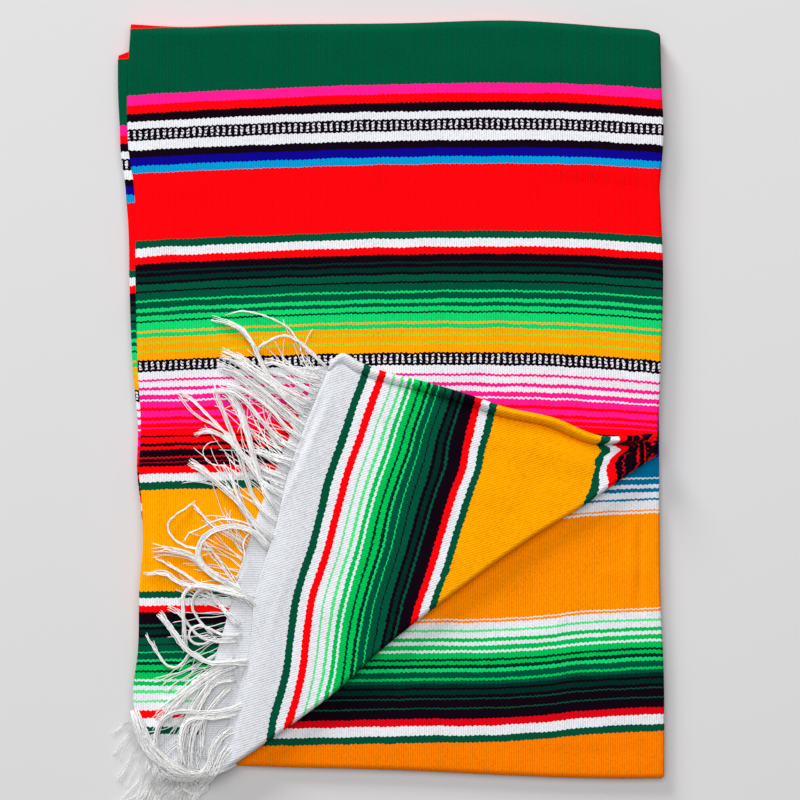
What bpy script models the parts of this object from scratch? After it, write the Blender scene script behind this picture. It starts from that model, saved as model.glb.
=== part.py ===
"""A striped serape, folded in thirds each way and laid flat, with one corner turned up.

Metres, +Z up, +Y to the folded top edge. The cloth is one web of a single thickness.
Its layers are numbered from the floor: 0 to 4 lie hidden below the lower panel (5),
6 and 7 lie hidden below the top panel (8), and 9, 10 and 11 are the same three layers
turned back over the corner fold.
"""

import bmesh
import bpy
import math
import numpy as np
from mathutils import Matrix

COLLECTION = "striped_serape"

# Colours of the plain solids
RED = (0.80, 0.06, 0.04)
ORANGE = (0.95, 0.45, 0.02)
GREEN = (0.02, 0.45, 0.20)
DARK_GREEN = (0.05, 0.20, 0.16)
WHITE = (0.86, 0.86, 0.87)
CLOTH_ROUGHNESS = 0.9

# Cloth
CLOTH = 0.0018            # thickness of the woven cloth
AIR = 0.0003              # space between neighbouring layers, and at seams
PITCH = CLOTH + AIR

# Layers, counted from the floor
FLOOR_LAYER = 0
LOWER_PANEL_LAYER = 5
TURNED_LAYER = 6          # lies under the top panel, and shows once it is turned over
INNER_LAYER = 7
TOP_PANEL_LAYER = 8
TOP_PANEL_TURNED = 9
INNER_TURNED = 10
TURNED_TOP = 11

# The folded stack as it lies, in metres from its middle. Each outline is as seen from above.
TOP_EDGE = (              # x, y of the upper fold
    (-0.254, 0.3570),
    (-0.206, 0.3545),
    (-0.156, 0.3562),
    (0.003, 0.3580),
    (0.120, 0.3603),
    (0.166, 0.3575),
    (0.212, 0.3538),
    (0.252, 0.3510),
)
SELVEDGE = (              # y, x of the top panel's free edge, on the left
    (0.357, -0.2540),
    (0.322, -0.2564),
    (0.274, -0.2578),
    (0.233, -0.2560),
    (0.205, -0.2517),
    (0.178, -0.2498),
    (0.123, -0.2498),
    (0.022, -0.2473),
    (-0.033, -0.2445),
    (-0.070, -0.2464),
    (-0.106, -0.2435),
    (-0.144, -0.2429),
    (-0.180, -0.2459),
    (-0.244, -0.2476),
    (-0.280, -0.2518),
    (-0.307, -0.2493),
    (-0.330, -0.2400),
    (-0.356, -0.2320),
)
RIGHT_FOLD = (            # y, x of the fold down the right side
    (0.357, 0.2515),
    (0.297, 0.2531),
    (0.251, 0.2550),
    (0.223, 0.2531),
    (0.199, 0.2512),
    (0.179, 0.2521),
    (0.141, 0.2540),
    (0.024, 0.2521),
    (-0.055, 0.2484),
)
LOWER_RIGHT_FOLD = (      # y, x of the same fold on the lower panel
    (0.000, 0.2510),
    (-0.100, 0.2514),
    (-0.190, 0.2525),
    (-0.260, 0.2555),
    (-0.366, 0.2560),
)
BOTTOM_FOLD = (           # x, y of the fold along the lower panel's bottom
    (-0.252, -0.3470),
    (-0.158, -0.3530),
    (-0.016, -0.3572),
    (0.236, -0.3658),
    (0.256, -0.3655),
)
CORNER_FOLD = (           # x, y of the slanting fold that turns the corner up
    (0.2483, -0.0554),
    (0.2254, -0.0707),
    (0.1690, -0.1098),
    (0.1480, -0.1222),
    (0.0458, -0.1939),
    (-0.0162, -0.2426),
    (-0.0554, -0.2789),
    (-0.1051, -0.3161),
    (-0.1700, -0.3605),
)
RIDGE = (                 # x, y of the side fold where it runs along the turned corner
    (0.2483, -0.0554),
    (0.2400, -0.0385),
    (0.1977, -0.0382),
    (0.1480, -0.0191),
    (0.1003, -0.0086),
    (0.0754, 0.0000),
    (0.0277, 0.0143),
    (-0.0162, 0.0258),
    (-0.0353, 0.0334),
    (-0.0525, 0.0420),
    (-0.0640, 0.0340),
)
TURNED_HEM = (            # x, y of the hem of the uppermost turned layer
    (-0.0640, 0.0310),
    (-0.1041, -0.0745),
    (-0.1156, -0.1242),
    (-0.1347, -0.1862),
    (-0.1413, -0.2445),
    (-0.1560, -0.2961),
    (-0.1700, -0.3480),
)
UNDER_HEM = (             # x, y of the hem of the turned layer that lies on the top panel
    (-0.0735, 0.0290),
    (-0.1375, -0.1261),
    (-0.1614, -0.2082),
    (-0.1748, -0.2540),
    (-0.1834, -0.2903),
    (-0.1860, -0.3430),
)
UNDER_FOLD_SHOWS = (      # y, how far the fold beneath stands out past the selvedge
    (0.3500, -0.0040),
    (0.3320, -0.0020),
    (0.3276, 0.0105),
    (0.3000, 0.0095),
    (0.2600, 0.0075),
    (0.2150, 0.0085),
    (0.1830, 0.0085),
    (0.1410, 0.0065),
    (0.0400, 0.0055),
    (-0.0240, 0.0035),
    (-0.1146, 0.0010),
    (-0.1600, -0.0030),
    (-0.3560, -0.0050),
)
EDGE_LAYERS = (           # layer, how far its left edge and its right edge lie inside the outline
    (0, 0.0040, 0.0030),
    (1, 0.0062, 0.0042),
    (2, 0.0036, 0.0026),
    (3, 0.0068, 0.0048),
    (4, 0.0044, 0.0034),
    (5, 0.0034, 0.0024),
)

# Hidden layers, one solid inside the folds
INSIDE_FOLD = 0.0020      # space between the hidden layers and the cloth that folds round them
END_MARGIN = 0.005        # how far short of an end fold's axis the side edges stop
BOTTOM_LEFT_XS = (-0.200, -0.228)
EDGE_GROOVE = 0.0009      # how deep the edge is drawn in between two layers
LAP_START = np.array((0.2466, -0.0080))        # the hidden layers stop along a line from here
LAP_END = np.array((-0.1630, -0.3350))         # to here, below the top panel
SHOWN_FOLD_LAYERS = 3     # layers under the top panel that the lower panel's own side fold holds

# Corner fold and ridge
FOLD_LEAN = math.atan2(0.3051, 0.4183)         # the corner fold's angle to the bottom edge
ACROSS_FOLD = np.array((math.sin(FOLD_LEAN), -math.cos(FOLD_LEAN)))
ACROSS_RIDGE = np.array((0.231, 0.973))        # square to the ridge, outwards
ACROSS_HEM = np.array((-0.940, 0.342))         # square to the turned hems, outwards
SIDE_FOLD_STOPS = 0.004      # how far above the corner fold the panel's side fold stops
PANEL_EDGE_SHARE = 0.010     # the turned part of the top panel stops short of the ridge's curl
VALLEY_FROM_RIDGE = 0.0105   # the soft trough that runs along the ridge
VALLEY_HALF_WIDTH = 0.0040
VALLEY_DEPTH = 0.0010
NEAR_RIDGE = (0.0, 0.010, 0.020, 0.030, 0.042, 0.056)      # rows that give the trough its shape
INNER_EDGE_SHARE = 0.045     # the inner layer's selvedge stops short of the ridge
INNER_HEM_INSET = 0.008

# How finely the solids are divided
FOLD_SHARES = np.linspace(0, 1, 15)   # every turned layer has a row at each of these
ACROSS = np.linspace(0, 1, 10)        # places across a turned layer, from its fold to its hem
PANEL_COLUMNS = 10
PANEL_ROWS = 9
LEFT_ROWS = 14
RIGHT_ROWS = 7
END_COLUMNS = 8
SIDE_STEPS = 5
ROLL_STEPS = 7
PANEL_CORNER_STEPS = 4
INNER_CORNER_STEPS = 6
OUTER_CORNER_STEPS = 8
WELD = 0.00002
END_CURVE_REACH = 0.12    # how far from its end a panel's rows still follow the end's curve

# Fringe. Angles are degrees above straight left, on the page.
END_HEM = (               # x, y of the stretch of the panel's hem that isn't turned
    (-0.2320, -0.3556),
    (-0.1745, -0.3556),
)
UNDER_FAN = (             # share along the hem, angle, length of the locks
    (0.00, 32.0, 0.106),
    (0.25, 20.0, 0.104),
    (0.50, -8.0, 0.098),
    (0.75, -16.0, 0.084),
    (1.00, -42.0, 0.080),
)
TURNED_FAN = (
    (0.00, 40.0, 0.100),
    (0.25, 15.0, 0.102),
    (0.50, -3.0, 0.102),
    (0.75, -20.0, 0.096),
    (1.00, -44.0, 0.090),
)
END_FAN = (
    (0.00, -59.0, 0.100),
    (1.00, -49.0, 0.108),
)
UNDER_LOCKS = 66
TURNED_LOCKS = 62
END_LOCKS = 16
UNDER_DROP = 0.010        # over this much of its length a lock comes down to what it lies on
TURNED_DROP = 0.020
END_DROP = 0.035
LOCK_STEPS = 6
LOCK_HEIGHT = 0.0011
LOCK_ROOT_WIDTH = 0.0026
LOCK_TIP_WIDTH = 0.0014
LENGTH_SPREAD = 0.08      # share by which a lock may be longer or shorter than its run
GATHER = 0.45             # how far the locks of a tuft lean to its middle at their tips
TUFT = 3                  # locks to a tuft
SWAY = 0.0030             # side to side swing of a lock along its length
SWAYS_ALONG_HEM = 2.5
STRIP_WIDTH = 0.0020
STRIP_HEIGHT = 0.0014
SEED = 7


def middle(layer):
    """Height of the middle of a layer."""
    return layer * PITCH + CLOTH / 2


def fold_radius(low, high):
    """Radius of the middle of the cloth where it turns from one layer to another."""
    return (middle(high) - middle(low)) / 2


TOP_ROLL = fold_radius(FLOOR_LAYER, TOP_PANEL_LAYER)
BOTTOM_ROLL = fold_radius(FLOOR_LAYER, LOWER_PANEL_LAYER)
SIDE_ROLL = fold_radius(TURNED_LAYER, TOP_PANEL_LAYER)
PANEL_CORNER_ROLL = fold_radius(TOP_PANEL_LAYER, TOP_PANEL_TURNED)
INNER_CORNER_ROLL = fold_radius(INNER_LAYER, INNER_TURNED)
OUTER_CORNER_ROLL = fold_radius(TURNED_LAYER, TURNED_TOP)
HALF = CLOTH / 2


def read(table, at):
    """Value of a two-column table at one or more places, straight between its rows."""
    rows = np.array(sorted(table))
    return np.interp(at, rows[:, 0], rows[:, 1])


def along(table, shares):
    """Points at the given shares of a polyline's length."""
    points = np.array(table)
    steps = np.hypot(*np.diff(points, axis=0).T)
    lengths = np.concatenate(([0.0], np.cumsum(steps))) / steps.sum()
    shares = np.atleast_1d(shares)
    return np.column_stack([np.interp(shares, lengths, points[:, k]) for k in (0, 1)])


def to_3d(plan, height):
    """Plan points with a height for each."""
    plan = np.asarray(plan)
    z = np.broadcast_to(height, plan.shape[:-1])
    return np.concatenate((plan, z[..., None]), axis=-1)


def material(name, colour):
    """A matt cloth finish."""
    made = bpy.data.materials.new(name)
    made.use_nodes = True
    shader = made.node_tree.nodes["Principled BSDF"]
    shader.inputs["Base Color"].default_value = (*colour, 1.0)
    shader.inputs["Roughness"].default_value = CLOTH_ROUGHNESS
    shader.inputs["Metallic"].default_value = 0.0
    made.diffuse_color = (*colour, 1.0)
    return made


def add_object(name, mesh, colour):
    """Put a finished mesh in the collection under its own name."""
    made = bpy.data.objects.new(name, mesh)
    mesh.materials.append(material(name, colour))
    bpy.data.collections[COLLECTION].objects.link(made)
    return made


def wall(name, blocks, colour):
    """Cloth of even thickness about a middle surface, given as grids that share edges."""
    shape = bmesh.new()
    for block in blocks:
        rows, columns = block.shape[:2]
        corners = [shape.verts.new(point) for point in block.reshape(-1, 3)]
        for i in range(rows - 1):
            for j in range(columns - 1):
                a = i * columns + j
                quad = (corners[a], corners[a + 1], corners[a + columns + 1], corners[a + columns])
                shape.faces.new(quad)
    bmesh.ops.remove_doubles(shape, verts=shape.verts, dist=WELD)
    bmesh.ops.recalc_face_normals(shape, faces=shape.faces)
    mesh = bpy.data.meshes.new(name)
    shape.to_mesh(mesh)
    shape.free()
    mesh.shade_smooth()
    made = add_object(name, mesh, colour)
    thick = made.modifiers.new("cloth", "SOLIDIFY")
    thick.thickness = CLOTH
    thick.offset = 0.0
    return made


def side_x(table, y):
    """Where the cloth starts to turn down at a side fold, in from the outline by its radius."""
    return read(table, y) - SIDE_ROLL - HALF


def stations_of(table, shares):
    """Points along a polyline that is made straight between the fold's stations."""
    stations = along(table, FOLD_SHARES)
    shares = np.atleast_1d(shares)
    return np.column_stack([np.interp(shares, FOLD_SHARES, stations[:, k]) for k in (0, 1)])


def corner_fold_line(shares):
    """Axis of the corner fold, in from its outline by the outer layer's radius."""
    return stations_of(CORNER_FOLD, shares) - (OUTER_CORNER_ROLL + HALF) * ACROSS_FOLD


def lap_line(shares):
    """The straight cut below the top panel where the hidden layers stop."""
    return LAP_START + np.outer(shares, LAP_END - LAP_START)


def side_curl(edge, inward, radius):
    """Columns that carry on from a panel's edge and turn under it.

    Each is the edge moved out by radius times the sine of its angle, and along
    the inward direction by radius times one minus the cosine.
    """
    columns = []
    for angle in np.linspace(0, math.pi, SIDE_STEPS + 1):
        out = np.array((radius * math.sin(angle), 0.0, 0.0))
        columns.append(edge + out + inward * radius * (1 - math.cos(angle)))
    return np.stack(columns, axis=1)


def end_roll(flat_row, radius, direction):
    """Rows that carry on from a panel's end and turn down to the floor."""
    rows = []
    inward = []
    for angle in np.linspace(math.pi, 0, ROLL_STEPS + 1):
        out = np.array((0.0, direction * math.sin(angle), math.cos(angle) - 1)) * radius
        rows.append(flat_row + out)
        inward.append((0.0, -direction * math.sin(angle), -math.cos(angle)))
    return np.array(rows), np.array(inward)


def panel(ys, left, right, end_curve, height, roll, direction, columns):
    """A flat panel whose end rolls down to the floor.

    Rows run from left to right at each y. The end row follows its curve, and
    the rows near it follow by less the further they lie from it. The left
    edge stays where its y puts it.
    """
    share = np.linspace(0, 1, columns)
    x = left[:, None] + (right - left)[:, None] * share
    weight = np.clip(1 - np.abs(ys - ys[0]) / END_CURVE_REACH, 0, 1)[:, None]
    bend = end_curve(x) - end_curve(left[0])
    y = ys[:, None] + weight * (bend - bend[:, :1] * (1 - share))
    flat = np.dstack((x, y, np.full_like(x, height)))
    rolled, inward = end_roll(flat[0], roll, direction)
    rows = np.concatenate((rolled, flat[1:]))
    inward = np.concatenate((inward, np.tile((0.0, 0.0, -1.0), (len(flat) - 1, 1))))
    return rows, inward


def corner_roll(shares, radius, steps):
    """Half turn about the corner fold's axis, from below to above, one row for each share."""
    axis = to_3d(corner_fold_line(shares), (middle(TOP_PANEL_LAYER) + middle(TOP_PANEL_TURNED)) / 2)
    columns = []
    for angle in np.linspace(0, math.pi, steps + 1):
        out = np.append(ACROSS_FOLD * math.sin(angle), -math.cos(angle)) * radius
        columns.append(axis + out)
    return np.stack(columns, axis=1)


def ridge_line(shares):
    """Where the turned cloth starts to curl down at the ridge, in from its outline."""
    line = along(RIDGE, shares) - (SIDE_ROLL + HALF) * ACROSS_RIDGE
    line[0] = corner_fold_line(0.0)[0]
    return line


def flap_plan(shares, hem, across):
    """Plan of a turned layer: rows run from the corner fold to the hem.

    Each row is straight between the two, and the rows near the ridge take up its bends.
    """
    start = corner_fold_line(shares)
    end = stations_of(hem, shares)
    straight = start[:, None] * (1 - across)[None, :, None] + end[:, None] * across[None, :, None]
    ridge = ridge_line(across)
    low, high = corner_fold_line(0.0)[0], along(hem, 0.0)[0]
    bend = ridge - (low * (1 - across)[:, None] + high * across[:, None])
    bend[-1] = 0
    fade = (1 - shares) ** 3
    return straight + fade[:, None, None] * bend[None]


def top_panel():
    """The uppermost layer: rolled at the top, folded under at the right, turned back at the corner."""
    turned = np.concatenate(([PANEL_EDGE_SHARE], FOLD_SHARES[1:]))
    fold = corner_fold_line(np.concatenate(([0.0], turned)))
    upper = np.linspace(TOP_EDGE[0][1] - TOP_ROLL - HALF, fold[0, 1] + SIDE_FOLD_STOPS, PANEL_ROWS)
    ys = np.concatenate((upper, fold[:, 1]))
    right = np.concatenate((side_x(RIGHT_FOLD, upper), fold[:, 0]))

    def end_curve(x):
        return read(TOP_EDGE, x) - TOP_ROLL - HALF

    height = middle(TOP_PANEL_LAYER)
    rows, inward = panel(ys, read(SELVEDGE, ys), right, end_curve, height, TOP_ROLL, 1, PANEL_COLUMNS)
    above_fold = ROLL_STEPS + len(upper)
    side = side_curl(rows[:above_fold, -1], inward[:above_fold], SIDE_ROLL)
    roll = corner_roll(turned, PANEL_CORNER_ROLL, PANEL_CORNER_STEPS)
    plan = flap_plan(turned, UNDER_HEM, ACROSS)
    flap = to_3d(plan, middle(TOP_PANEL_TURNED))
    return wall("top_panel", (rows, side, roll, flap), RED)


def lower_panel():
    """The layer that the turned corner uncovers, rolled down to the floor at the bottom."""

    def end_curve(x):
        return read(BOTTOM_FOLD, x) + BOTTOM_ROLL + HALF

    lap = lap_line(np.linspace(1, 0, PANEL_ROWS))
    ys = np.concatenate(([end_curve(LAP_END[0])], lap[:, 1]))
    left = np.concatenate(([LAP_END[0]], lap[:, 0]))
    right = side_x(LOWER_RIGHT_FOLD, ys)
    height = middle(LOWER_PANEL_LAYER)
    rows, inward = panel(ys, left, right, end_curve, height, BOTTOM_ROLL, -1, PANEL_COLUMNS)
    side = side_curl(rows[:, -1], inward, SIDE_ROLL)
    return wall("lower_panel", (rows, side), ORANGE)


def inner_layer():
    """The middle layer of the turned corner, with its own fold and a free selvedge."""
    shares = np.concatenate(([INNER_EDGE_SHARE], FOLD_SHARES[1:]))
    start = to_3d(lap_line(shares), middle(INNER_LAYER))
    roll = corner_roll(shares, INNER_CORNER_ROLL, INNER_CORNER_STEPS)
    flat = np.stack((start, roll[:, 0]), axis=1)
    hem = np.array(TURNED_HEM) - INNER_HEM_INSET * ACROSS_HEM
    plan = flap_plan(shares, hem, ACROSS)
    flap = to_3d(plan, middle(INNER_TURNED))
    return wall("corner_inner_layer", (flat, roll, flap), WHITE)


def turned_corner():
    """The layer on top of the turned corner, with the side fold along its ridge."""
    shares = np.concatenate((NEAR_RIDGE, FOLD_SHARES[1:]))
    plan = flap_plan(shares, TURNED_HEM, ACROSS)
    from_ridge = np.hypot(*np.moveaxis(plan - plan[0], -1, 0))
    trough = np.exp(-((from_ridge - VALLEY_FROM_RIDGE) / VALLEY_HALF_WIDTH) ** 2)
    height = middle(TURNED_TOP) - VALLEY_DEPTH * trough
    height[:, 0] = middle(TURNED_TOP)
    flap = to_3d(plan, height)
    start = to_3d(lap_line(shares), middle(TURNED_LAYER))
    roll = corner_roll(shares, OUTER_CORNER_ROLL, OUTER_CORNER_STEPS)
    flat = np.stack((start, roll[:, 0]), axis=1)
    curl = []
    for angle in np.linspace(0, math.pi, SIDE_STEPS + 1):
        out = np.append(ACROSS_RIDGE * math.sin(angle), math.cos(angle) - 1) * SIDE_ROLL
        curl.append(flap[0] + out)
    return wall("turned_corner", (flat, roll, flap, np.array(curl)), GREEN)


def end_axis_y():
    """Height on the page of the top roll's axis."""
    return float(read(TOP_EDGE, TOP_EDGE[-1][0])) - TOP_ROLL - HALF


def nose(z, centre, radius):
    """How far a rounded end stands out at a height, for a half round about its centre."""
    return math.sqrt(max(radius ** 2 - (z - centre) ** 2, 0.0))


def left_edge(layer, groove):
    """Left side of the hidden layers, from the bottom to the top."""
    ys = np.linspace(LAP_END[1] - END_MARGIN, end_axis_y() - END_MARGIN, LEFT_ROWS)
    if layer > LOWER_PANEL_LAYER:
        left = read(SELVEDGE, ys) - read(UNDER_FOLD_SHOWS, ys)
    else:
        left = read(SELVEDGE, ys) + EDGE_LAYERS[layer][1]
    return np.column_stack((left + groove, ys))


def top_end(z, layer, start):
    """Top end of the hidden layers, a rounded nose inside the top panel's roll."""
    xs = np.linspace(start, side_x(RIGHT_FOLD, end_axis_y()) - INSIDE_FOLD, END_COLUMNS)
    ys = read(TOP_EDGE, xs) - TOP_ROLL - HALF
    if layer == FLOOR_LAYER:
        return np.column_stack((xs, ys - INSIDE_FOLD))
    return np.column_stack((xs, ys + nose(z, TOP_ROLL + HALF, TOP_ROLL - HALF - INSIDE_FOLD)))


def right_edge(table, ys, layer, covered, groove):
    """Right side: inside the side fold where that covers the layer, else layered and showing."""
    if covered:
        return np.column_stack((side_x(table, ys) - INSIDE_FOLD, ys))
    return np.column_stack((read(table, ys) - EDGE_LAYERS[layer][2] - groove, ys))


def bottom_foot(z, layer, groove):
    """Lower right part of the hidden layers, inside the lower panel and its roll."""
    axis = BOTTOM_ROLL + HALF
    ys = np.linspace(LAP_START[1], read(BOTTOM_FOLD, LAP_START[0]) + axis, RIGHT_ROWS)[1:]
    covered = layer >= TURNED_LAYER - SHOWN_FOLD_LAYERS
    down = right_edge(LOWER_RIGHT_FOLD, ys, layer, covered, groove)
    down[-1] = (side_x(LOWER_RIGHT_FOLD, ys[-1]) - INSIDE_FOLD, ys[-1] + INSIDE_FOLD)
    xs = np.linspace(down[-1, 0], LAP_END[0] - AIR, END_COLUMNS)
    low = read(BOTTOM_FOLD, xs) + axis
    if layer == FLOOR_LAYER:
        low = low + INSIDE_FOLD
    else:
        low = low - nose(z, axis, BOTTOM_ROLL - HALF - INSIDE_FOLD)
    return np.concatenate((down, np.column_stack((xs, low))))


def hidden_ring(z, layer, groove):
    """Outline of the hidden layers at one height, as points in order round the stack."""
    in_side_fold = layer > LOWER_PANEL_LAYER
    left = left_edge(layer, groove)
    top = top_end(z, layer, left[-1, 0] + EDGE_GROOVE)
    ys = np.linspace(end_axis_y() - END_MARGIN, LAP_START[1] + INSIDE_FOLD, RIGHT_ROWS)
    right = right_edge(RIGHT_FOLD, ys, layer, in_side_fold, groove)
    corner = ((side_x(RIGHT_FOLD, end_axis_y()) - INSIDE_FOLD, end_axis_y() - INSIDE_FOLD),)
    gap = np.array((0.0, AIR / math.cos(FOLD_LEAN)))
    if layer >= LOWER_PANEL_LAYER:
        right[-1, 0] = LAP_START[0]
        foot = lap_line(FOLD_SHARES[1:]) + gap
        foot[-1, 0] -= AIR
    else:
        foot = bottom_foot(z, layer, groove)
    xs = np.array((LAP_END[0] - AIR, *BOTTOM_LEFT_XS))
    axis = BOTTOM_ROLL + HALF
    if in_side_fold:
        xs[0] = corner_fold_line(1.0)[0, 0] - INSIDE_FOLD
        low = read(BOTTOM_FOLD, xs) + HALF
    else:
        low = read(BOTTOM_FOLD, xs) + axis - nose(z, axis, axis)
    return np.concatenate((left, top, corner, right, foot, np.column_stack((xs, low))))


def folded_layers():
    """The hidden layers, one solid, rounded at the folds and layered at the edges."""
    rings = []
    for layer in range(TOP_PANEL_LAYER):
        base = layer * PITCH
        low = base - AIR if layer == LOWER_PANEL_LAYER else base
        for z, groove in ((low, EDGE_GROOVE), (base + HALF, 0.0), (base + CLOTH, EDGE_GROOVE)):
            rings.append(to_3d(hidden_ring(z, layer, groove), z))
    shape = bmesh.new()
    loops = [[shape.verts.new(point) for point in ring] for ring in rings]
    for low, high in zip(loops, loops[1:]):
        for k in range(len(low)):
            after = (k + 1) % len(low)
            shape.faces.new((low[after], low[k], high[k], high[after]))
    shape.faces.new(loops[0])
    shape.faces.new(loops[-1][::-1])
    bmesh.ops.recalc_face_normals(shape, faces=shape.faces)
    mesh = bpy.data.meshes.new("folded_layers")
    shape.to_mesh(mesh)
    shape.free()
    return add_object("folded_layers", mesh, DARK_GREEN)


def fan(table, shares):
    """Direction and length of the locks at each share of a hem."""
    rows = np.array(table)
    angle = np.radians(np.interp(shares, rows[:, 0], rows[:, 1]))
    length = np.interp(shares, rows[:, 0], rows[:, 2])
    return np.column_stack((-np.cos(angle), np.sin(angle))), length


def lock_sections(middles, directions, base, widths):
    """Three-sided sections along a lock: two corners below and one above its middle."""
    side = np.column_stack((directions[:, 1], -directions[:, 0]))
    left = to_3d(middles - side * widths[:, None] / 2, base)
    right = to_3d(middles + side * widths[:, None] / 2, base)
    return np.stack((left, right, to_3d(middles, base + LOCK_HEIGHT)), axis=1)


def lock_path(start, share, count, hem_length, table, draw):
    """Plan points of one lock: straight out along its fan's direction, swaying as its
    neighbours do, and leaning to the middle of its tuft by the square of the way along."""
    t = np.linspace(0, 1, LOCK_STEPS + 1)
    tuft_middle = (math.floor(share * count / TUFT) + 0.5) * TUFT / count
    direction, length = fan(table, np.array((share,)))
    length = length[0] * (1 + draw.uniform(-LENGTH_SPREAD, LENGTH_SPREAD))
    side = np.array((direction[0, 1], -direction[0, 0]))
    lean = (tuft_middle - share) * hem_length * GATHER
    swing = SWAY * np.sin(math.tau * (t + SWAYS_ALONG_HEM * share)) * t
    path = start + np.outer(t * length, direction[0]) + np.outer(swing - lean * t ** 2, side)
    return path, t * length


def grow_lock(shape, root, path, run, root_height, rest_height, drop):
    """Carry a triangle in the strip's outer face along a lock's path, down to what it lies on."""
    slope = np.gradient(path, axis=0)
    slope /= np.hypot(*slope.T)[:, None]
    fall = np.clip(run / drop, 0, 1)
    base = rest_height + (root_height - rest_height) * (1 - fall) ** 2 * (1 + 2 * fall)
    widths = np.linspace(LOCK_ROOT_WIDTH, LOCK_TIP_WIDTH, len(path))
    before = root
    for ring in lock_sections(path, slope, base, widths)[1:]:
        corners = [shape.verts.new(point) for point in ring]
        for a in range(3):
            b = (a + 1) % 3
            shape.faces.new((before[a], before[b], corners[b], corners[a]))
        before = corners
    shape.faces.new(before)


def fringe(name, hem, table, count, root_height, rest_height, drop):
    """A narrow strip along a hem with a row of locks grown from its outer face.

    The strip has two stations to a lock. Each lock starts as a triangle in the
    strip's outer face, between its two stations.
    """
    draw = np.random.default_rng(SEED + count)
    hem_length = np.hypot(*np.diff(np.array(hem), axis=0).T).sum()
    root = LOCK_ROOT_WIDTH / hem_length
    starts = np.arange(count) / count
    stations = np.ravel(np.column_stack((starts, starts + root)))
    line = stations_of(hem, stations)
    tangent = stations_of(hem, stations + root) - stations_of(hem, stations - root)
    tangent /= np.hypot(*tangent.T)[:, None]
    normal = np.column_stack((tangent[:, 1], -tangent[:, 0]))
    inner = line + normal * AIR
    outer = line + normal * (AIR + STRIP_WIDTH)
    low, high = root_height, root_height + STRIP_HEIGHT
    shape = bmesh.new()
    in_low, in_high, out_high, out_low = [
        [shape.verts.new(point) for point in to_3d(edge, z)]
        for edge, z in ((inner, low), (inner, high), (outer, high), (outer, low))
    ]
    for i in range(2 * count - 1):
        shape.faces.new((in_low[i], in_low[i + 1], in_high[i + 1], in_high[i]))
        shape.faces.new((in_low[i], out_low[i], out_low[i + 1], in_low[i + 1]))
        if i % 2:
            shape.faces.new((in_high[i], in_high[i + 1], out_high[i + 1], out_high[i]))
            shape.faces.new((out_low[i], out_high[i], out_high[i + 1], out_low[i + 1]))
            continue
        peak = shape.verts.new((out_high[i].co + out_high[i + 1].co) / 2)
        shape.faces.new((in_high[i], in_high[i + 1], out_high[i + 1], peak, out_high[i]))
        shape.faces.new((out_low[i], out_high[i], peak))
        shape.faces.new((peak, out_high[i + 1], out_low[i + 1]))
        start = (outer[i] + outer[i + 1]) / 2
        path, run = lock_path(start, stations[i] + root / 2, count, hem_length, table, draw)
        grow_lock(shape, (out_low[i + 1], out_low[i], peak), path, run, root_height, rest_height, drop)
    shape.faces.new((in_low[0], in_high[0], out_high[0], out_low[0]))
    shape.faces.new((in_low[-1], out_low[-1], out_high[-1], in_high[-1]))
    bmesh.ops.recalc_face_normals(shape, faces=shape.faces)
    mesh = bpy.data.meshes.new(name)
    shape.to_mesh(mesh)
    shape.free()
    return add_object(name, mesh, WHITE)


def fringes():
    """The fringe of both turned hems, and of the stretch of hem that hangs to the floor."""
    on_panel = TOP_PANEL_TURNED * PITCH
    fringe("fringe_turned_lower", UNDER_HEM, UNDER_FAN, UNDER_LOCKS, on_panel, on_panel, UNDER_DROP)
    top, rest = TURNED_TOP * PITCH, INNER_TURNED * PITCH
    fringe("fringe_turned_upper", TURNED_HEM, TURNED_FAN, TURNED_LOCKS, top, rest, TURNED_DROP)
    fringe("fringe_end", END_HEM, END_FAN, END_LOCKS, TOP_PANEL_LAYER * PITCH, AIR, END_DROP)


def start_collection():
    """An empty scene with one collection for the object."""
    for old in list(bpy.data.objects):
        bpy.data.objects.remove(old, do_unlink=True)
    group = bpy.data.collections.new(COLLECTION)
    bpy.context.scene.collection.children.link(group)


def centre_on_base():
    """Put the origin on the floor under the middle of the whole."""
    view = bpy.context.evaluated_depsgraph_get()
    made = list(bpy.data.collections[COLLECTION].objects)
    corners = np.concatenate([np.array(piece.evaluated_get(view).bound_box) for piece in made])
    middle_of_base = (corners.min(axis=0) + corners.max(axis=0)) / 2
    shift = Matrix.Translation((-middle_of_base[0], -middle_of_base[1], 0.0))
    for piece in made:
        piece.data.transform(shift)


start_collection()
folded_layers()
lower_panel()
top_panel()
inner_layer()
turned_corner()
fringes()
centre_on_base()
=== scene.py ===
"""Looks of a striped serape that lies folded on a pale table, with one fringed corner turned up."""
import math

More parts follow.
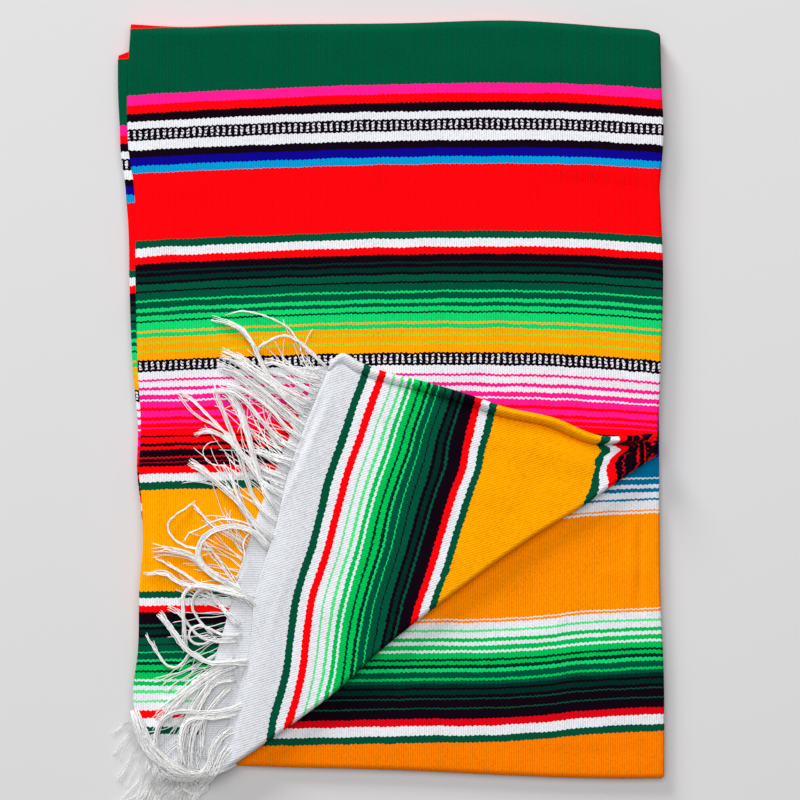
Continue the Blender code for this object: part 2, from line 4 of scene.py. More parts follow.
import bmesh
import bpy
import numpy as np
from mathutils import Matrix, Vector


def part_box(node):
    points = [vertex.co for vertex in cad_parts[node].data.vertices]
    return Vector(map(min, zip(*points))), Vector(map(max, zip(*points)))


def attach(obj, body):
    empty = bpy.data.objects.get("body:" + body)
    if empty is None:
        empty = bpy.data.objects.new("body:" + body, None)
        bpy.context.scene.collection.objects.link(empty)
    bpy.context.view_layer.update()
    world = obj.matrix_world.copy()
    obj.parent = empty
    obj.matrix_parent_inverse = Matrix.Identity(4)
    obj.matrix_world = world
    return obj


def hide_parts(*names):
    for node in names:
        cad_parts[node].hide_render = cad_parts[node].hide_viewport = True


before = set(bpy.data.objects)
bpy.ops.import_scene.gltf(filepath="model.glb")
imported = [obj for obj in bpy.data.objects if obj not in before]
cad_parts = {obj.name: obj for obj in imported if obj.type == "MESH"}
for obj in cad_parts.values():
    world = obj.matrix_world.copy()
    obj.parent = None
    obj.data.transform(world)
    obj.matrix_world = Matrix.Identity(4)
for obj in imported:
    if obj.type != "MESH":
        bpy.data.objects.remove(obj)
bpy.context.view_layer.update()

# The top panel. It is the end stretch of one weft-faced web of cotton and acrylic, woven in bright
# stripes. It is folded round the layers beneath at the top and at the right, and its lower right
# corner is turned back over the slanting fold.
PAGE = np.array((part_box("lower_panel")[1][0] - 0.2560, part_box("top_panel")[1][1] - 0.3603))
CLOTH = 0.0018            # thickness of the weave
PITCH = 0.0021            # from one layer to the next
HALF = CLOTH / 2
TOP_EDGE = (              # x, y of the upper fold, from the stack's middle
    (-0.254, 0.3570), (-0.206, 0.3545), (-0.156, 0.3562), (0.003, 0.3580),
    (0.120, 0.3603), (0.166, 0.3575), (0.212, 0.3538), (0.252, 0.3510),
)
SELVEDGE = (              # y, x of the free edge on the left
    (0.357, -0.2540), (0.322, -0.2564), (0.274, -0.2578), (0.233, -0.2560), (0.205, -0.2517),
    (0.178, -0.2498), (0.123, -0.2498), (0.022, -0.2473), (-0.033, -0.2445), (-0.070, -0.2464),
    (-0.106, -0.2435), (-0.144, -0.2429), (-0.180, -0.2459), (-0.244, -0.2476), (-0.280, -0.2518),
    (-0.307, -0.2493), (-0.330, -0.2400), (-0.356, -0.2320),
)
RIGHT_FOLD = (            # y, x of the fold down the right side
    (0.357, 0.2515), (0.297, 0.2531), (0.251, 0.2550), (0.223, 0.2531), (0.199, 0.2512),
    (0.179, 0.2521), (0.141, 0.2540), (0.024, 0.2521), (-0.055, 0.2484),
)
CORNER_FOLD = (           # x, y of the slanting fold
    (0.2483, -0.0554), (0.2254, -0.0707), (0.1690, -0.1098), (0.1480, -0.1222), (0.0458, -0.1939),
    (-0.0162, -0.2426), (-0.0554, -0.2789), (-0.1051, -0.3161), (-0.1700, -0.3605),
)
UNDER_HEM = (             # x, y of the hem of the panel's turned part
    (-0.0735, 0.0290), (-0.1375, -0.1261), (-0.1614, -0.2082), (-0.1748, -0.2540),
    (-0.1834, -0.2903), (-0.1860, -0.3430),
)
FOLD_LEAN = math.atan2(0.3051, 0.4183)
ACROSS_FOLD = np.array((math.sin(FOLD_LEAN), -math.cos(FOLD_LEAN)))
TOP_ROLL = 4 * PITCH
SIDE_ROLL = PITCH
INNER_CORNER_ROLL = PITCH / 2
OUTER_CORNER_ROLL = 2.5 * PITCH
SIDE_FOLD_STOPS = 0.004
PANEL_LAYER = 8           # layers are counted from 0 at the table
SIDE_FOLD_LAYER = 6       # where the panel's side fold ends
TURNED_PANEL_LAYER = 9    # where its own turned corner lies
SAME_SPOT = 0.00004       # corners of two grids that are this close are one
EDGE_BEND_REACH = 0.12    # how far into a panel the curve of its rolled edge is felt
CREASES_FADE = 0.02       # creases fade out over this width at the roll
CORNER_LOSS = 0.30        # share of the roll that is lost at its very corner
CORNER_WIDTH = 0.005
HEM_SINK, HEM_SINK_WIDTH = 0.0006, 0.004
SIDE_STEPS = 9            # points round a side fold


def layer_middle(layer):
    """Height of the middle of a layer, counted from 0 at the table: layer times pitch, plus half a cloth."""
    return layer * PITCH + HALF


def bell(distance, width):
    """A bell curve, 1 in its middle: e to minus the square of distance over width."""
    return np.exp(-(distance / width) ** 2)


def rising(at, start, width):
    """0 before a start, 1 past a width from it, and a straight line between."""
    return np.clip((at - start) / width, 0, 1)


def flowing(table, at):
    """Value of a two-column table: a cubic through its rows, whose slope at a row is its neighbours' mean."""
    rows = np.array(table, dtype=float)
    places, values = rows[np.argsort(rows[:, 0])].T
    slopes = np.gradient(values, places)
    k = np.clip(np.searchsorted(places, at) - 1, 0, len(places) - 2)
    gap = places[k + 1] - places[k]
    t = np.clip((at - places[k]) / gap, 0, 1)
    return ((2 * t**3 - 3 * t**2 + 1) * values[k] + (3 * t**2 - 2 * t**3) * values[k + 1]
            + (t**3 - 2 * t**2 + t) * gap * slopes[k] + (t**3 - t**2) * gap * slopes[k + 1])


def route(points, shares):
    """Points at shares of a route's length: each coordinate flows through the rows by length along them."""
    points = np.array(points, dtype=float)
    steps = np.hypot(*np.diff(points, axis=0).T)
    lengths = np.concatenate(([0], np.cumsum(steps))) / steps.sum()
    return np.stack([flowing(np.column_stack((lengths, points[:, i])), shares) for i in (0, 1)], axis=-1)


def soft_lines(table, x, y):
    """Height that creases add: each is depth times a bell of the distance to its line."""
    height = np.zeros_like(x)
    for x0, y0, x1, y1, half_width, depth in table:
        run = np.array((x1 - x0, y1 - y0))
        share = np.clip(((x - x0) * run[0] + (y - y0) * run[1]) / (run @ run), 0, 1)
        away = np.hypot(x - x0 - share * run[0], y - y0 - share * run[1])
        height += depth * bell(away, half_width) * (1 - (2 * share - 1) ** 4)
    return height


def placed(name, data):
    """An object with this mesh, lamp or camera, put into the scene."""
    made = bpy.data.objects.new(name, data)
    bpy.context.scene.collection.objects.link(made)
    return made


def cloth_object(name, blocks, thick=True):
    """One sheet from blocks (points, u, v), grids that share edges, and a wall about its middle."""
    corners, places, quads, first = [], [], [], 0
    for points, u, v in blocks:
        rows, columns = points.shape[:2]
        number = first + np.arange(rows * columns).reshape(rows, columns)
        quads.append(np.stack((number[:-1, :-1], number[:-1, 1:], number[1:, 1:], number[1:, :-1]), axis=-1))
        corners.append(points.reshape(-1, 3) + (*PAGE, 0))
        ways = [np.broadcast_to(way, (rows, columns)) for way in (u, v)]
        places.append(np.stack(ways, axis=-1).reshape(-1, 2))
        first += rows * columns
    quads = np.concatenate([q.reshape(-1, 4) for q in quads])
    mesh = bpy.data.meshes.new(name)
    mesh.from_pydata(np.concatenate(corners), [], quads)
    layer = mesh.uv_layers.new(name="cloth")
    layer.data.foreach_set("uv", np.concatenate(places)[quads.ravel()].astype(np.float32).ravel())
    shape = bmesh.new()
    shape.from_mesh(mesh)
    bmesh.ops.remove_doubles(shape, verts=shape.verts, dist=SAME_SPOT)
    bmesh.ops.recalc_face_normals(shape, faces=shape.faces)
    shape.to_mesh(mesh)
    shape.free()
    mesh.shade_smooth()
    made = placed(name, mesh)
    if thick:
        wall = made.modifiers.new("weave", "SOLIDIFY")
        wall.thickness, wall.offset = CLOTH, 0
    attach(made, "root")
    return made


def fold_line(shares):
    """Axis of the slanting fold: its outline moved in by the outer layer's radius."""
    return route(CORNER_FOLD, shares) - (OUTER_CORNER_ROLL + HALF) * ACROSS_FOLD


def half_turn(start, out, low, high, steps):
    """Rows of a fold: start plus out times the angle's sine, from height low to height high by its cosine."""
    angle = np.linspace(0, math.pi, steps)
    reach = (high - low) / 2
    plan = start[:, None] + np.sin(angle)[None, :, None] * (out * np.ones_like(start))[:, None]
    z = low[:, None] + reach[:, None] * (1 - np.cos(angle))
    return np.dstack((plan, z))


def apart(plan, other):
    """Distances in plan between the points of two grids."""
    return np.hypot(*(plan - other).transpose(2, 0, 1))


def rolled_edges(flat, x, v, rows, side_layer, radius, way, steps, rounded=1.0):
    """A panel's roll at its end, its side fold down its first rows, and the round corner between them.

    The roll goes out up the page where way is 1, and down it where way is -1:
    y plus way times radius times the angle's sine. The side fold goes out to
    the right in the same manner, and so does the corner, from the roll.
    """
    angle = np.linspace(0, math.pi, steps)[:, None]
    roll = flat[:1].repeat(steps, axis=0)
    roll[..., 1] += way * radius * np.sin(angle) * rounded
    roll[..., 2] -= radius * (1 - np.cos(angle))
    v_roll = v[:1] + way * radius * angle
    around = np.linspace(0, math.pi, SIDE_STEPS)
    edge = flat[:rows, -1]
    low = np.full(rows, layer_middle(side_layer))
    side = half_turn(edge[:, :2], np.array((SIDE_ROLL, 0)), edge[:, 2], low, SIDE_STEPS)
    u_side = edge[:, :1] + SIDE_ROLL * around
    corner = roll[:, -1:].repeat(SIDE_STEPS, axis=1)
    inward = np.column_stack((0 * angle[:, 0], -way * np.sin(angle[:, 0]), -np.cos(angle[:, 0])))
    corner[..., 0] += SIDE_ROLL * np.sin(around)
    corner += inward[:, None] * (SIDE_ROLL * (1 - np.cos(around)))[None, :, None]
    return (
        (roll, x[:1], v_roll),
        (side, u_side, v[:rows, -1:]),
        (corner, u_side[:1], v_roll[:, -1:]),
    )


# Where its stripes lie. They run across the panel, but lean and bow a little on the way.
HEM_Y = -0.3591           # where the hem's line meets the selvedge
PANEL_LEFT, PANEL_RIGHT = -0.2540, 0.2530
STRIPE_LEAN = (           # distance from the hem, rise of a stripe from the left side to the right
    (-0.1, 0), (0.269, 0), (0.318, -0.0010), (0.354, -0.0042), (0.393, 0.0), (0.485, 0.0042),
    (0.508, 0.0043), (0.594, 0.0050), (0.647, 0.0059), (0.690, 0.0090), (0.711, 0.0130), (0.8, 0.0130),
)
STRIPE_BOW = (            # distance from the hem, how far a stripe rises at the crown of its bow
    (-0.1, 0), (0.1, 0), (0.173, -0.0015), (0.269, 0.0045), (0.318, 0.0053), (0.393, 0.0086),
    (0.508, 0.0074), (0.594, 0.0070), (0.616, 0.0077), (0.638, 0.0087), (0.662, 0.0059), (0.711, 0.0045),
    (0.8, 0.0045),
)
BOW_SHAPE = (             # share across the panel, share of the bow
    (0, 0), (0.12, 0.33), (0.25, 0.62), (0.5, 0.97), (0.62, 1.0), (0.735, 0.95), (0.88, 0.6), (1, 0),
)
TOP_CREASES = (           # from x, y to x, y, half width, height: troughs are negative
    (-0.2370, -0.075, -0.2360, -0.205, 0.0032, -0.0012),
    (-0.2300, -0.060, -0.2310, -0.220, 0.0060, 0.0010),
    (-0.252, 0.190, -0.120, 0.215, 0.010, 0.0008),
    (-0.245, 0.262, 0.060, 0.279, 0.016, 0.0010),
    (0.020, 0.318, 0.250, 0.312, 0.014, 0.0008),
    (0.250, 0.197, 0.150, 0.206, 0.0060, -0.0009),
    (0.252, 0.214, 0.120, 0.222, 0.0090, 0.0009),
    (-0.100, 0.110, 0.200, 0.125, 0.020, 0.0011),
    (0.170, 0.030, 0.247, 0.010, 0.010, 0.0010),
    (-0.250, 0.060, -0.130, 0.052, 0.012, 0.0009),
    (-0.200, 0.345, -0.060, 0.341, 0.007, -0.0006),
    (0.228, 0.330, 0.236, 0.120, 0.0060, -0.0007),
    (0.060, 0.010, 0.235, -0.030, 0.0050, -0.0006),
    (-0.200, -0.285, -0.235, -0.318, 0.0070, 0.0012),
)
UNDER_HEM_CREASES = (     # on the part turned back, near its hem
    (-0.150, -0.200, -0.165, -0.262, 0.0040, 0.0008),
    (-0.172, -0.270, -0.150, -0.275, 0.0040, -0.0006),
    (-0.180, -0.300, -0.158, -0.310, 0.0050, 0.0009),
    (-0.146, -0.150, -0.136, -0.178, 0.0050, 0.0006),
)


def panel_distance(x, y):
    """Distance from the hem along the web: y less the stripes' lean and bow there, found by repetition."""
    share = (x - PANEL_LEFT) / (PANEL_RIGHT - PANEL_LEFT)
    v = y - HEM_Y
    for _ in range(5):
        v = y - HEM_Y - share * flowing(STRIPE_LEAN, v) - flowing(STRIPE_BOW, v) * flowing(BOW_SHAPE, share)
    return v


def top_panel_blocks():
    """The flat stretch, its roll at the top, its side fold, and the part turned back at the corner."""
    shares = np.linspace(0, 1, 132)
    fold = fold_line(shares)
    start = TOP_EDGE[0][1] - TOP_ROLL - HALF
    upper = np.linspace(start, fold[0, 1] + SIDE_FOLD_STOPS, 98)
    ys = np.concatenate((upper, fold[:, 1]))
    side = flowing(RIGHT_FOLD, upper) - SIDE_ROLL - HALF
    left, right = flowing(SELVEDGE, ys), np.concatenate((side, fold[:, 0]))
    across = np.linspace(0, 1, 122)
    x = left[:, None] + (right - left)[:, None] * across
    ends = flowing(TOP_EDGE, x) - TOP_ROLL - HALF - start
    y = ys[:, None] + (1 - rising(start - ys, 0, EDGE_BEND_REACH))[:, None] * ends
    creases = soft_lines(TOP_CREASES, x, y) * rising(start - ys, 0, CREASES_FADE)[:, None]
    z = layer_middle(PANEL_LAYER) + creases
    flat = np.dstack((x, y, z))
    v = panel_distance(x, y)

    rounded = 1 - CORNER_LOSS * bell(x[0, -1] - x[0], CORNER_WIDTH)
    rolled = rolled_edges(flat, x, v, len(upper), SIDE_FOLD_LAYER, TOP_ROLL, 1, 16, rounded)

    panel_z = flat[len(upper):, -1, 2]
    flap_z = np.full(len(fold), layer_middle(TURNED_PANEL_LAYER))
    turn = half_turn(fold, INNER_CORNER_ROLL * ACROSS_FOLD, panel_z, flap_z, 6)
    hem = route(UNDER_HEM, shares)
    steps = np.linspace(0, 1, 60)[None, :, None]
    plan = fold[:, None] * (1 - steps) + hem[:, None] * steps
    from_hem = apart(plan, hem[:, None])
    lying = layer_middle(TURNED_PANEL_LAYER) - HEM_SINK * bell(from_hem, HEM_SINK_WIDTH)
    lying = lying + soft_lines(UNDER_HEM_CREASES, plan[..., 0], plan[..., 1])
    flap = np.dstack((plan, lying))
    u_flap = -plan[..., 1]
    return (
        (flat, x, v),
        *rolled,
        (turn, u_flap[:, :1], from_hem[:, :1]),
        (flap, u_flap, from_hem),
    )


MOST_LIGHT = 1.08         # most that a yarn's raised parts are brighter than its dye


class Wire:
    """A socket of a material. Arithmetic on wires adds Math nodes."""

    def __init__(self, socket):
        self.socket = socket

    def node(self, kind, settings, values, output=0):
        """Any other node, with its settings made first and then its sockets' values or links."""
        tree = self.socket.id_data
        made = tree.nodes.new("ShaderNode" + kind)
        for name, setting in settings.items():
            if name == "stops":
                made.color_ramp.interpolation = "CONSTANT"
                made.color_ramp.elements.remove(made.color_ramp.elements[1])
                for place, colour in setting:
                    stop = made.color_ramp.elements.new(place) if place else made.color_ramp.elements[0]
                    stop.color = (*colour, 1)
            else:
                setattr(made, name, setting)
        for place, value in values.items():
            if isinstance(value, Wire):
                tree.links.new(value.socket, made.inputs[place])
            else:
                made.inputs[place].default_value = value
        return Wire(made.outputs[output])

    def math(self, operation, *others):
        return self.node("Math", {"operation": operation}, dict(enumerate((self, *others))))

    def shades(self, colour):
        """A colour times this brightness, which is held to the most that a yarn gives back."""
        held = self.math("MINIMUM", MOST_LIGHT)
        grey = self.node("CombineXYZ", {}, {0: held, 1: held, 2: held})
        multiply = {"data_type": "RGBA", "blend_type": "MULTIPLY"}
        return self.node("Mix", multiply, {0: 1.0, 6: colour, 7: grey}, 2)

    def __add__(self, other):
        return self.math("ADD", other)

    __radd__ = __add__

    def __mul__(self, other):
        return self.math("MULTIPLY", other)

    __rmul__ = __mul__

    def __sub__(self, other):
        return self.math("SUBTRACT", other)

    def __rsub__(self, other):
        return (self * -1) + other

    def __truediv__(self, other):
        return self.math("DIVIDE", other)

    def __gt__(self, other):
        return self.math("GREATER_THAN", other)


def dye(*screen):
    """A colour as the eye names it in full light, in 0 to 255, made linear and kept below the brightest."""
    return tuple(0.92 * (((c / 255 + 0.055) / 1.055) ** 2.4 if c > 10 else c / 3294) for c in screen)


YARNS = {
    "green": dye(0, 80, 54),
    "dark": dye(0, 80, 56),
    "deep": dye(0, 44, 36),
    "black": dye(16, 4, 16),
    # The hem is the same white cotton as the white stripes, but its dye is made greyer: painted shade.
    "hem": dye(213, 215, 220),
    "white": dye(228, 229, 234),
    "red": dye(255, 3, 11),
    # Crimson is a colour of the web's own thin stripes. On the lower panel it also stands for the red in
    # painted shade.
    "crimson_and_red_in_shade": dye(220, 3, 20),
    "pink": dye(255, 26, 140),
    "orange": dye(255, 162, 0),
    # The web's orange in painted shade, for the lower panel, and darker and redder still for its stretch
    # beside the bottom roll.
    "orange_in_shade": dye(255, 141, 0),
    "orange_in_deep_shade": dye(250, 124, 0),
    "mint": dye(16, 208, 108),
    "leaf": dye(0, 190, 86),
    "light": dye(84, 226, 136),
    "pale": dye(112, 222, 152),
    "lime": dye(160, 205, 48),
    "navy": dye(14, 4, 140),
    "sky": dye(0, 150, 206),
    "blue": dye(0, 112, 158),
}
WEB = (                   # yarn, width of the stripe in mm, from the hem
    ("hem", 36.3), ("green", 7.0), ("white", 9.3), ("red", 7.2), ("white", 7.2), ("pale", 2.2),
    ("white", 6.2), ("light", 3.6), ("white", 3.6), ("leaf", 4.3), ("white", 2.1), ("leaf", 6.7),
    ("deep", 1.9), ("leaf", 5.3), ("deep", 2.8), ("mint", 2.5), ("dark", 5.7), ("mint", 1.5),
    ("dark", 6.2), ("black", 1.5), ("dark", 6.2), ("black", 2.4), ("deep", 4.3), ("black", 3.8),
    ("dark", 1.4), ("black", 11.9), ("red", 6.7), ("white", 7.2), ("green", 6.2), ("orange", 96.5),
    ("green", 7.3), ("white", 8.0), ("red", 7.0), ("black", 3.4), ("crimson_and_red_in_shade", 0.5), ("black", 3.7),
    ("crimson_and_red_in_shade", 1.7), ("black", 3.2), ("crimson_and_red_in_shade", 0.5), ("black", 3.0), ("red", 2.8), ("black", 3.1),
    ("red", 5.6), ("black", 1.4), ("red", 6.9), ("pink", 1.2),
    ("red", 3.7), ("pink", 2.7), ("red", 3.6), ("pink", 5.7), ("red", 2.9), ("pink", 6.1),
    ("white", 1.8), ("pink", 4.5), ("white", 4.3), ("pink", 3.1), ("white", 5.5), ("pink", 1.8),
    ("white", 18.2), ("orange", 7.8), ("lime", 1.3), ("orange", 6.1), ("lime", 2.2), ("orange", 4.1),
    ("mint", 4.8), ("orange", 1.9), ("mint", 7.8), ("deep", 1.5), ("mint", 5.0), ("dark", 3.2),
    ("mint", 3.5), ("dark", 6.2), ("mint", 1.8), ("dark", 7.3), ("black", 2.2), ("dark", 5.9),
    ("black", 2.9), ("deep", 4.3), ("black", 3.4), ("deep", 1.8), ("black", 7.2), ("red", 6.7),
    ("white", 8.6), ("green", 7.2), ("red", 64.0), ("sky", 7.6), ("navy", 8.1), ("black", 6.7),
    ("white", 26.8), ("black", 8.5), ("red", 7.6), ("pink", 9.8), ("green", 64.0), ("red", 66.6),
)
CHAINS = (382.2, 603.5)   # mm from the hem to the two rows of small white blocks framed in black
CHAIN_WIDTH = 11.0
CHAIN_STEP = 2.85         # half of one block's length
RIB = 2.2                 # mm from one warp rib to the next
PICK = 0.75               # mm from one weft yarn to the next
RAMP_STOPS = 30
TOOTH = 0.95              # mm that a stripe's edge steps between ribs
UNEVEN = 1.7              # mm that it strays in short waves
WANDER = 2.2              # mm that it strays in long waves
BLOCK_GAP = 0.42          # share of a block's half length past which the weft is black
FRAME_FROM = 0.32         # share of the band's width, from its middle, past which its frame is black
BAR_FROM = 0.36           # where the black bars between a block's rows start
BAR_COUNT, BAR_PHASE = 3.4, 0.3              # bars to the band's width, and where the first begins
BLOCK_STRAY = 2.6         # mm that a block's ends stray
BLOCK_ROUGH, BAR_ROUGH, FRAME_TOOTH = 0.9, 0.7, 0.06         # how ragged the edges of the black are
NOISES = (                # waves to a mm, detail: of the uneven edges, the wander and the flecks
    (0.24, 2.0), (0.035, 1.0), (0.42, 2.0),
)
RIB_ROUND, PICK_DEPTH, FLECK_HEIGHT = 0.7, 0.3, 0.4          # shape of the relief, as shares of a rib
RIB_SHADE, PICK_SHADE, FLECK_SHADE, WANDER_SHADE = 0.30, 0.14, 0.60, 0.20   # how much each changes the tone
RIB_MEAN = 0.64           # mean height of a rib, where its tone is the dye's own
FULL_LIGHT = 1.01
WEAVE_RELIEF = 0.0005


def striped(bands, first, v):
    """The yarn's colour at distance v, in mm: ramps of up to 30 stripes, each taking over at its start."""
    starts = first + np.concatenate(([0], np.cumsum([width for _, width in bands])))
    shade = None
    for k in range(0, len(bands), RAMP_STOPS):
        low, high = starts[k], starts[min(k + RAMP_STOPS, len(bands))]
        stops = [((starts[i] - low) / (high - low), YARNS[bands[i][0]])
                 for i in range(k, min(k + RAMP_STOPS, len(bands)))]
        ramp = v.node("ValToRGB", {"stops": stops}, {0: (v - low) / (high - low)})
        shade = ramp if shade is None else v.node(
            "Mix", {"data_type": "RGBA"}, {0: v > low, 6: shade, 7: ramp}, 2)
    return shade


def woven(name, bands, first=0.0, chains=(), noise_seed=0.0):
    """Matt weft-faced cloth: stripes with toothed edges, warp ribs, weft picks and uneven dye."""
    made = bpy.data.materials.new(name)
    made.use_nodes = True
    tree = made.node_tree
    shader = tree.nodes["Principled BSDF"]
    place = Wire(tree.nodes.new("ShaderNodeTexCoord").outputs["UV"])
    u = place.node("SeparateXYZ", {}, {0: place}, 0) * 1000
    v = place.node("SeparateXYZ", {}, {0: place}, 1) * 1000
    spot = place.node("CombineXYZ", {}, {0: u, 1: v, 2: noise_seed})
    uneven, wander, fleck = (
        place.node("TexNoise", {"noise_dimensions": "3D"}, {"Vector": spot, "Scale": scale, "Detail": detail})
        for scale, detail in NOISES)
    teeth = u.math("PINGPONG", RIB) / RIB - 0.5
    woven_v = v + teeth * TOOTH + (uneven - 0.5) * UNEVEN + (wander - 0.5) * WANDER
    colour = striped(bands, first, woven_v)
    for start in chains:
        inside = (woven_v - start) / CHAIN_WIDTH
        along = (u + (uneven - 0.5) * BLOCK_STRAY).math("PINGPONG", CHAIN_STEP) / CHAIN_STEP
        block = along + (fleck - 0.5) * BLOCK_ROUGH > BLOCK_GAP
        line = (inside - 0.5).math("ABSOLUTE") + teeth * FRAME_TOOTH > FRAME_FROM
        bar = (inside * BAR_COUNT + BAR_PHASE).math("PINGPONG", 0.5) + (fleck - 0.5) * BAR_ROUGH > BAR_FROM
        within = (inside > 0) * (1 - (inside > 1))
        black = block.math("MAXIMUM", line).math("MAXIMUM", bar) * within
        colour = place.node("Mix", {"data_type": "RGBA"}, {0: black, 6: colour, 7: (*YARNS["black"], 1)}, 2)
    rib = (u * (math.pi / RIB)).math("SINE").math("ABSOLUTE")
    pick = (v / PICK + (u / RIB).math("FLOOR") * 0.5).math("FRACT") - 0.5
    pick = 1 - pick.math("ABSOLUTE") * 2
    relief = rib.math("POWER", RIB_ROUND) * (1 - PICK_DEPTH + pick * PICK_DEPTH) + fleck * FLECK_HEIGHT
    # Painted shade and light of the weave's relief: the raised ribs and picks are lighter and the hollows
    # between them darker. The flecks and the wander are uneven dye.
    light = FULL_LIGHT + (rib - RIB_MEAN) * RIB_SHADE + (pick - 0.5) * PICK_SHADE
    light = light + (fleck - 0.5) * FLECK_SHADE + (wander - 0.5) * WANDER_SHADE
    tree.links.new(light.shades(colour).socket, shader.inputs["Base Color"])
    bump = place.node("Bump", {}, {"Strength": 0.6, "Distance": WEAVE_RELIEF, "Height": relief})
    tree.links.new(bump.socket, shader.inputs["Normal"])
    shader.inputs["Roughness"].default_value = 0.95
    shader.inputs["Specular IOR Level"].default_value = 0.03
    return made


panel_weave = woven("striped_weave", WEB, chains=CHAINS)
top_panel = cloth_object("top_panel_cloth", top_panel_blocks())
top_panel.data.materials.append(panel_weave)
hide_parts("top_panel")

# The lower panel. It is a middle stretch of the same web, seen from its other side where the corner is
# turned away. It is folded under at the bottom and at the right.
LOWER_RIGHT_FOLD = (      # y, x of its fold down the right side
    (0.000, 0.2510), (-0.100, 0.2514), (-0.190, 0.2525), (-0.260, 0.2555), (-0.366, 0.2560),
)
BOTTOM_FOLD = (           # x, y of its fold along the bottom
    (-0.252, -0.3470), (-0.158, -0.3530), (-0.016, -0.3572), (0.236, -0.3658), (0.256, -0.3655),
)
LAP_START = np.array((0.2466, -0.0080))      # ends of the line where it dips below the fold
LAP_END = np.array((-0.1630, -0.3350))
BOTTOM_ROLL = 2.5 * PITCH
LOWER_LAYER = 5
LOWER_SIDE_LAYER = 3      # where its side fold ends
# Its orange and red are dyed darker than the top panel's because the panel lies in the turned corner's shade:
# painted shade. Its first stretch, beside the bottom roll, has the darkest orange.
LOWER_WEB = (             # yarn, width in mm, from 40 mm below the stripes' first line upwards
    ("orange_in_deep_shade", 84.9), ("green", 6.6), ("white", 8.6), ("crimson_and_red_in_shade", 7.0), ("black", 8.9), ("dark", 1.6),
    ("black", 7.6), ("dark", 2.0), ("black", 3.2), ("deep", 4.6), ("black", 2.4), ("deep", 3.6),
    ("dark", 3.4), ("leaf", 2.0), ("dark", 5.3), ("mint", 3.6), ("deep", 3.6), ("leaf", 3.6),
    ("deep", 2.4), ("leaf", 5.9), ("white", 2.3), ("leaf", 4.6), ("white", 3.6), ("leaf", 3.2),
    ("white", 5.1), ("light", 2.3), ("white", 7.6), ("orange_in_shade", 1.7), ("white", 1.8), ("orange_in_shade", 91.0),
    ("white", 1.6), ("orange_in_shade", 1.7), ("white", 8.8), ("blue", 1.9), ("white", 6.2), ("blue", 4.0),
    ("white", 3.4), ("blue", 5.4), ("white", 1.5), ("blue", 19.5), ("navy", 14.0), ("black", 10.0),
    ("navy", 14.0), ("black", 40.0),
)
LOWER_FIRST = -40.0
LOWER_BASE_Y = -0.3648    # y of the stripes' first line at the right side
LOWER_SAG = (             # x, how far a stripe lies below its place at the right side
    (-0.40, 0.016), (-0.155, 0.0145), (-0.092, 0.0137), (0.003, 0.0115), (0.100, 0.0102), (0.140, 0.0077),
    (0.178, 0.0036), (0.213, 0.0014), (0.254, 0.0), (0.30, 0.0),
)
LOWER_CREASES = (         # in the same columns as the top panel's
    (0.2330, -0.105, 0.2325, -0.215, 0.0036, -0.0011),
    (0.2250, -0.120, 0.2240, -0.200, 0.0050, 0.0008),
    (0.160, -0.272, 0.252, -0.262, 0.012, 0.0012),
    (0.040, -0.280, 0.150, -0.300, 0.014, -0.0009),
    (0.080, -0.240, 0.160, -0.222, 0.010, 0.0010),
    (-0.080, -0.325, 0.060, -0.330, 0.012, 0.0009),
    (0.120, -0.345, 0.240, -0.340, 0.007, -0.0007),
    (0.190, -0.170, 0.245, -0.165, 0.010, 0.0008),
)


def lower_panel_blocks():
    """The flat stretch below the slanting fold, its roll at the bottom and its side fold."""
    lap = LAP_END + np.linspace(0, 1, 84)[:, None] * (LAP_START - LAP_END)
    start = flowing(BOTTOM_FOLD, np.array(LAP_END[0])) + BOTTOM_ROLL + HALF
    ys = np.concatenate(([start], lap[:, 1]))
    left = np.concatenate(([LAP_END[0]], lap[:, 0]))
    right = flowing(LOWER_RIGHT_FOLD, ys) - SIDE_ROLL - HALF
    across = np.linspace(0, 1, 104)
    x = left[:, None] + (right - left)[:, None] * across
    bend = flowing(BOTTOM_FOLD, x) + BOTTOM_ROLL + HALF - start
    near_end = (1 - rising(ys - start, 0, EDGE_BEND_REACH))[:, None]
    y = ys[:, None] + near_end * (bend - bend[:, :1] * (1 - across))
    z = layer_middle(LOWER_LAYER) + soft_lines(LOWER_CREASES, x, y)
    flat = np.dstack((x, y, z))
    v = y - LOWER_BASE_Y + flowing(LOWER_SAG, x)
    return (flat, x, v), *rolled_edges(flat, x, v, len(ys), LOWER_SIDE_LAYER, BOTTOM_ROLL, -1, 14)


lower_panel = cloth_object("lower_panel_cloth", lower_panel_blocks())
lower_panel.data.materials.append(woven("lower_weave", LOWER_WEB, LOWER_FIRST, noise_seed=40.0))
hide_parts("lower_panel")

# The turned corner. It is the underside of the web's end, brought up over the slanting fold, with the
# side fold now along its upper edge. That fold stands up as a soft roll with a trough beside it.
RIDGE = (                 # x, y of the roll's outer edge
    (0.2483, -0.0554), (0.2492, -0.0455), (0.2465, -0.0372), (0.2250, -0.0368), (0.1977, -0.0374),
    (0.1480, -0.0191), (0.1003, -0.0086), (0.0754, 0.0000), (0.0277, 0.0143), (-0.0162, 0.0258),
    (-0.0353, 0.0334), (-0.0525, 0.0420), (-0.0640, 0.0340),
)
TURNED_HEM = (            # x, y of its hem
    (-0.0640, 0.0310), (-0.1041, -0.0745), (-0.1156, -0.1242), (-0.1347, -0.1862), (-0.1413, -0.2445),
    (-0.1560, -0.2961), (-0.1700, -0.3480),
)
FOLD_STRIPES = (          # share along the slanting fold, distance from the hem of the stripe there
    (0.0, 0.3266), (0.1095, 0.2917), (0.1646, 0.2693), (0.486, 0.1729), (0.548, 0.1528), (0.848, 0.0525),
    (0.889, 0.0363), (1.0, 0.0),
)
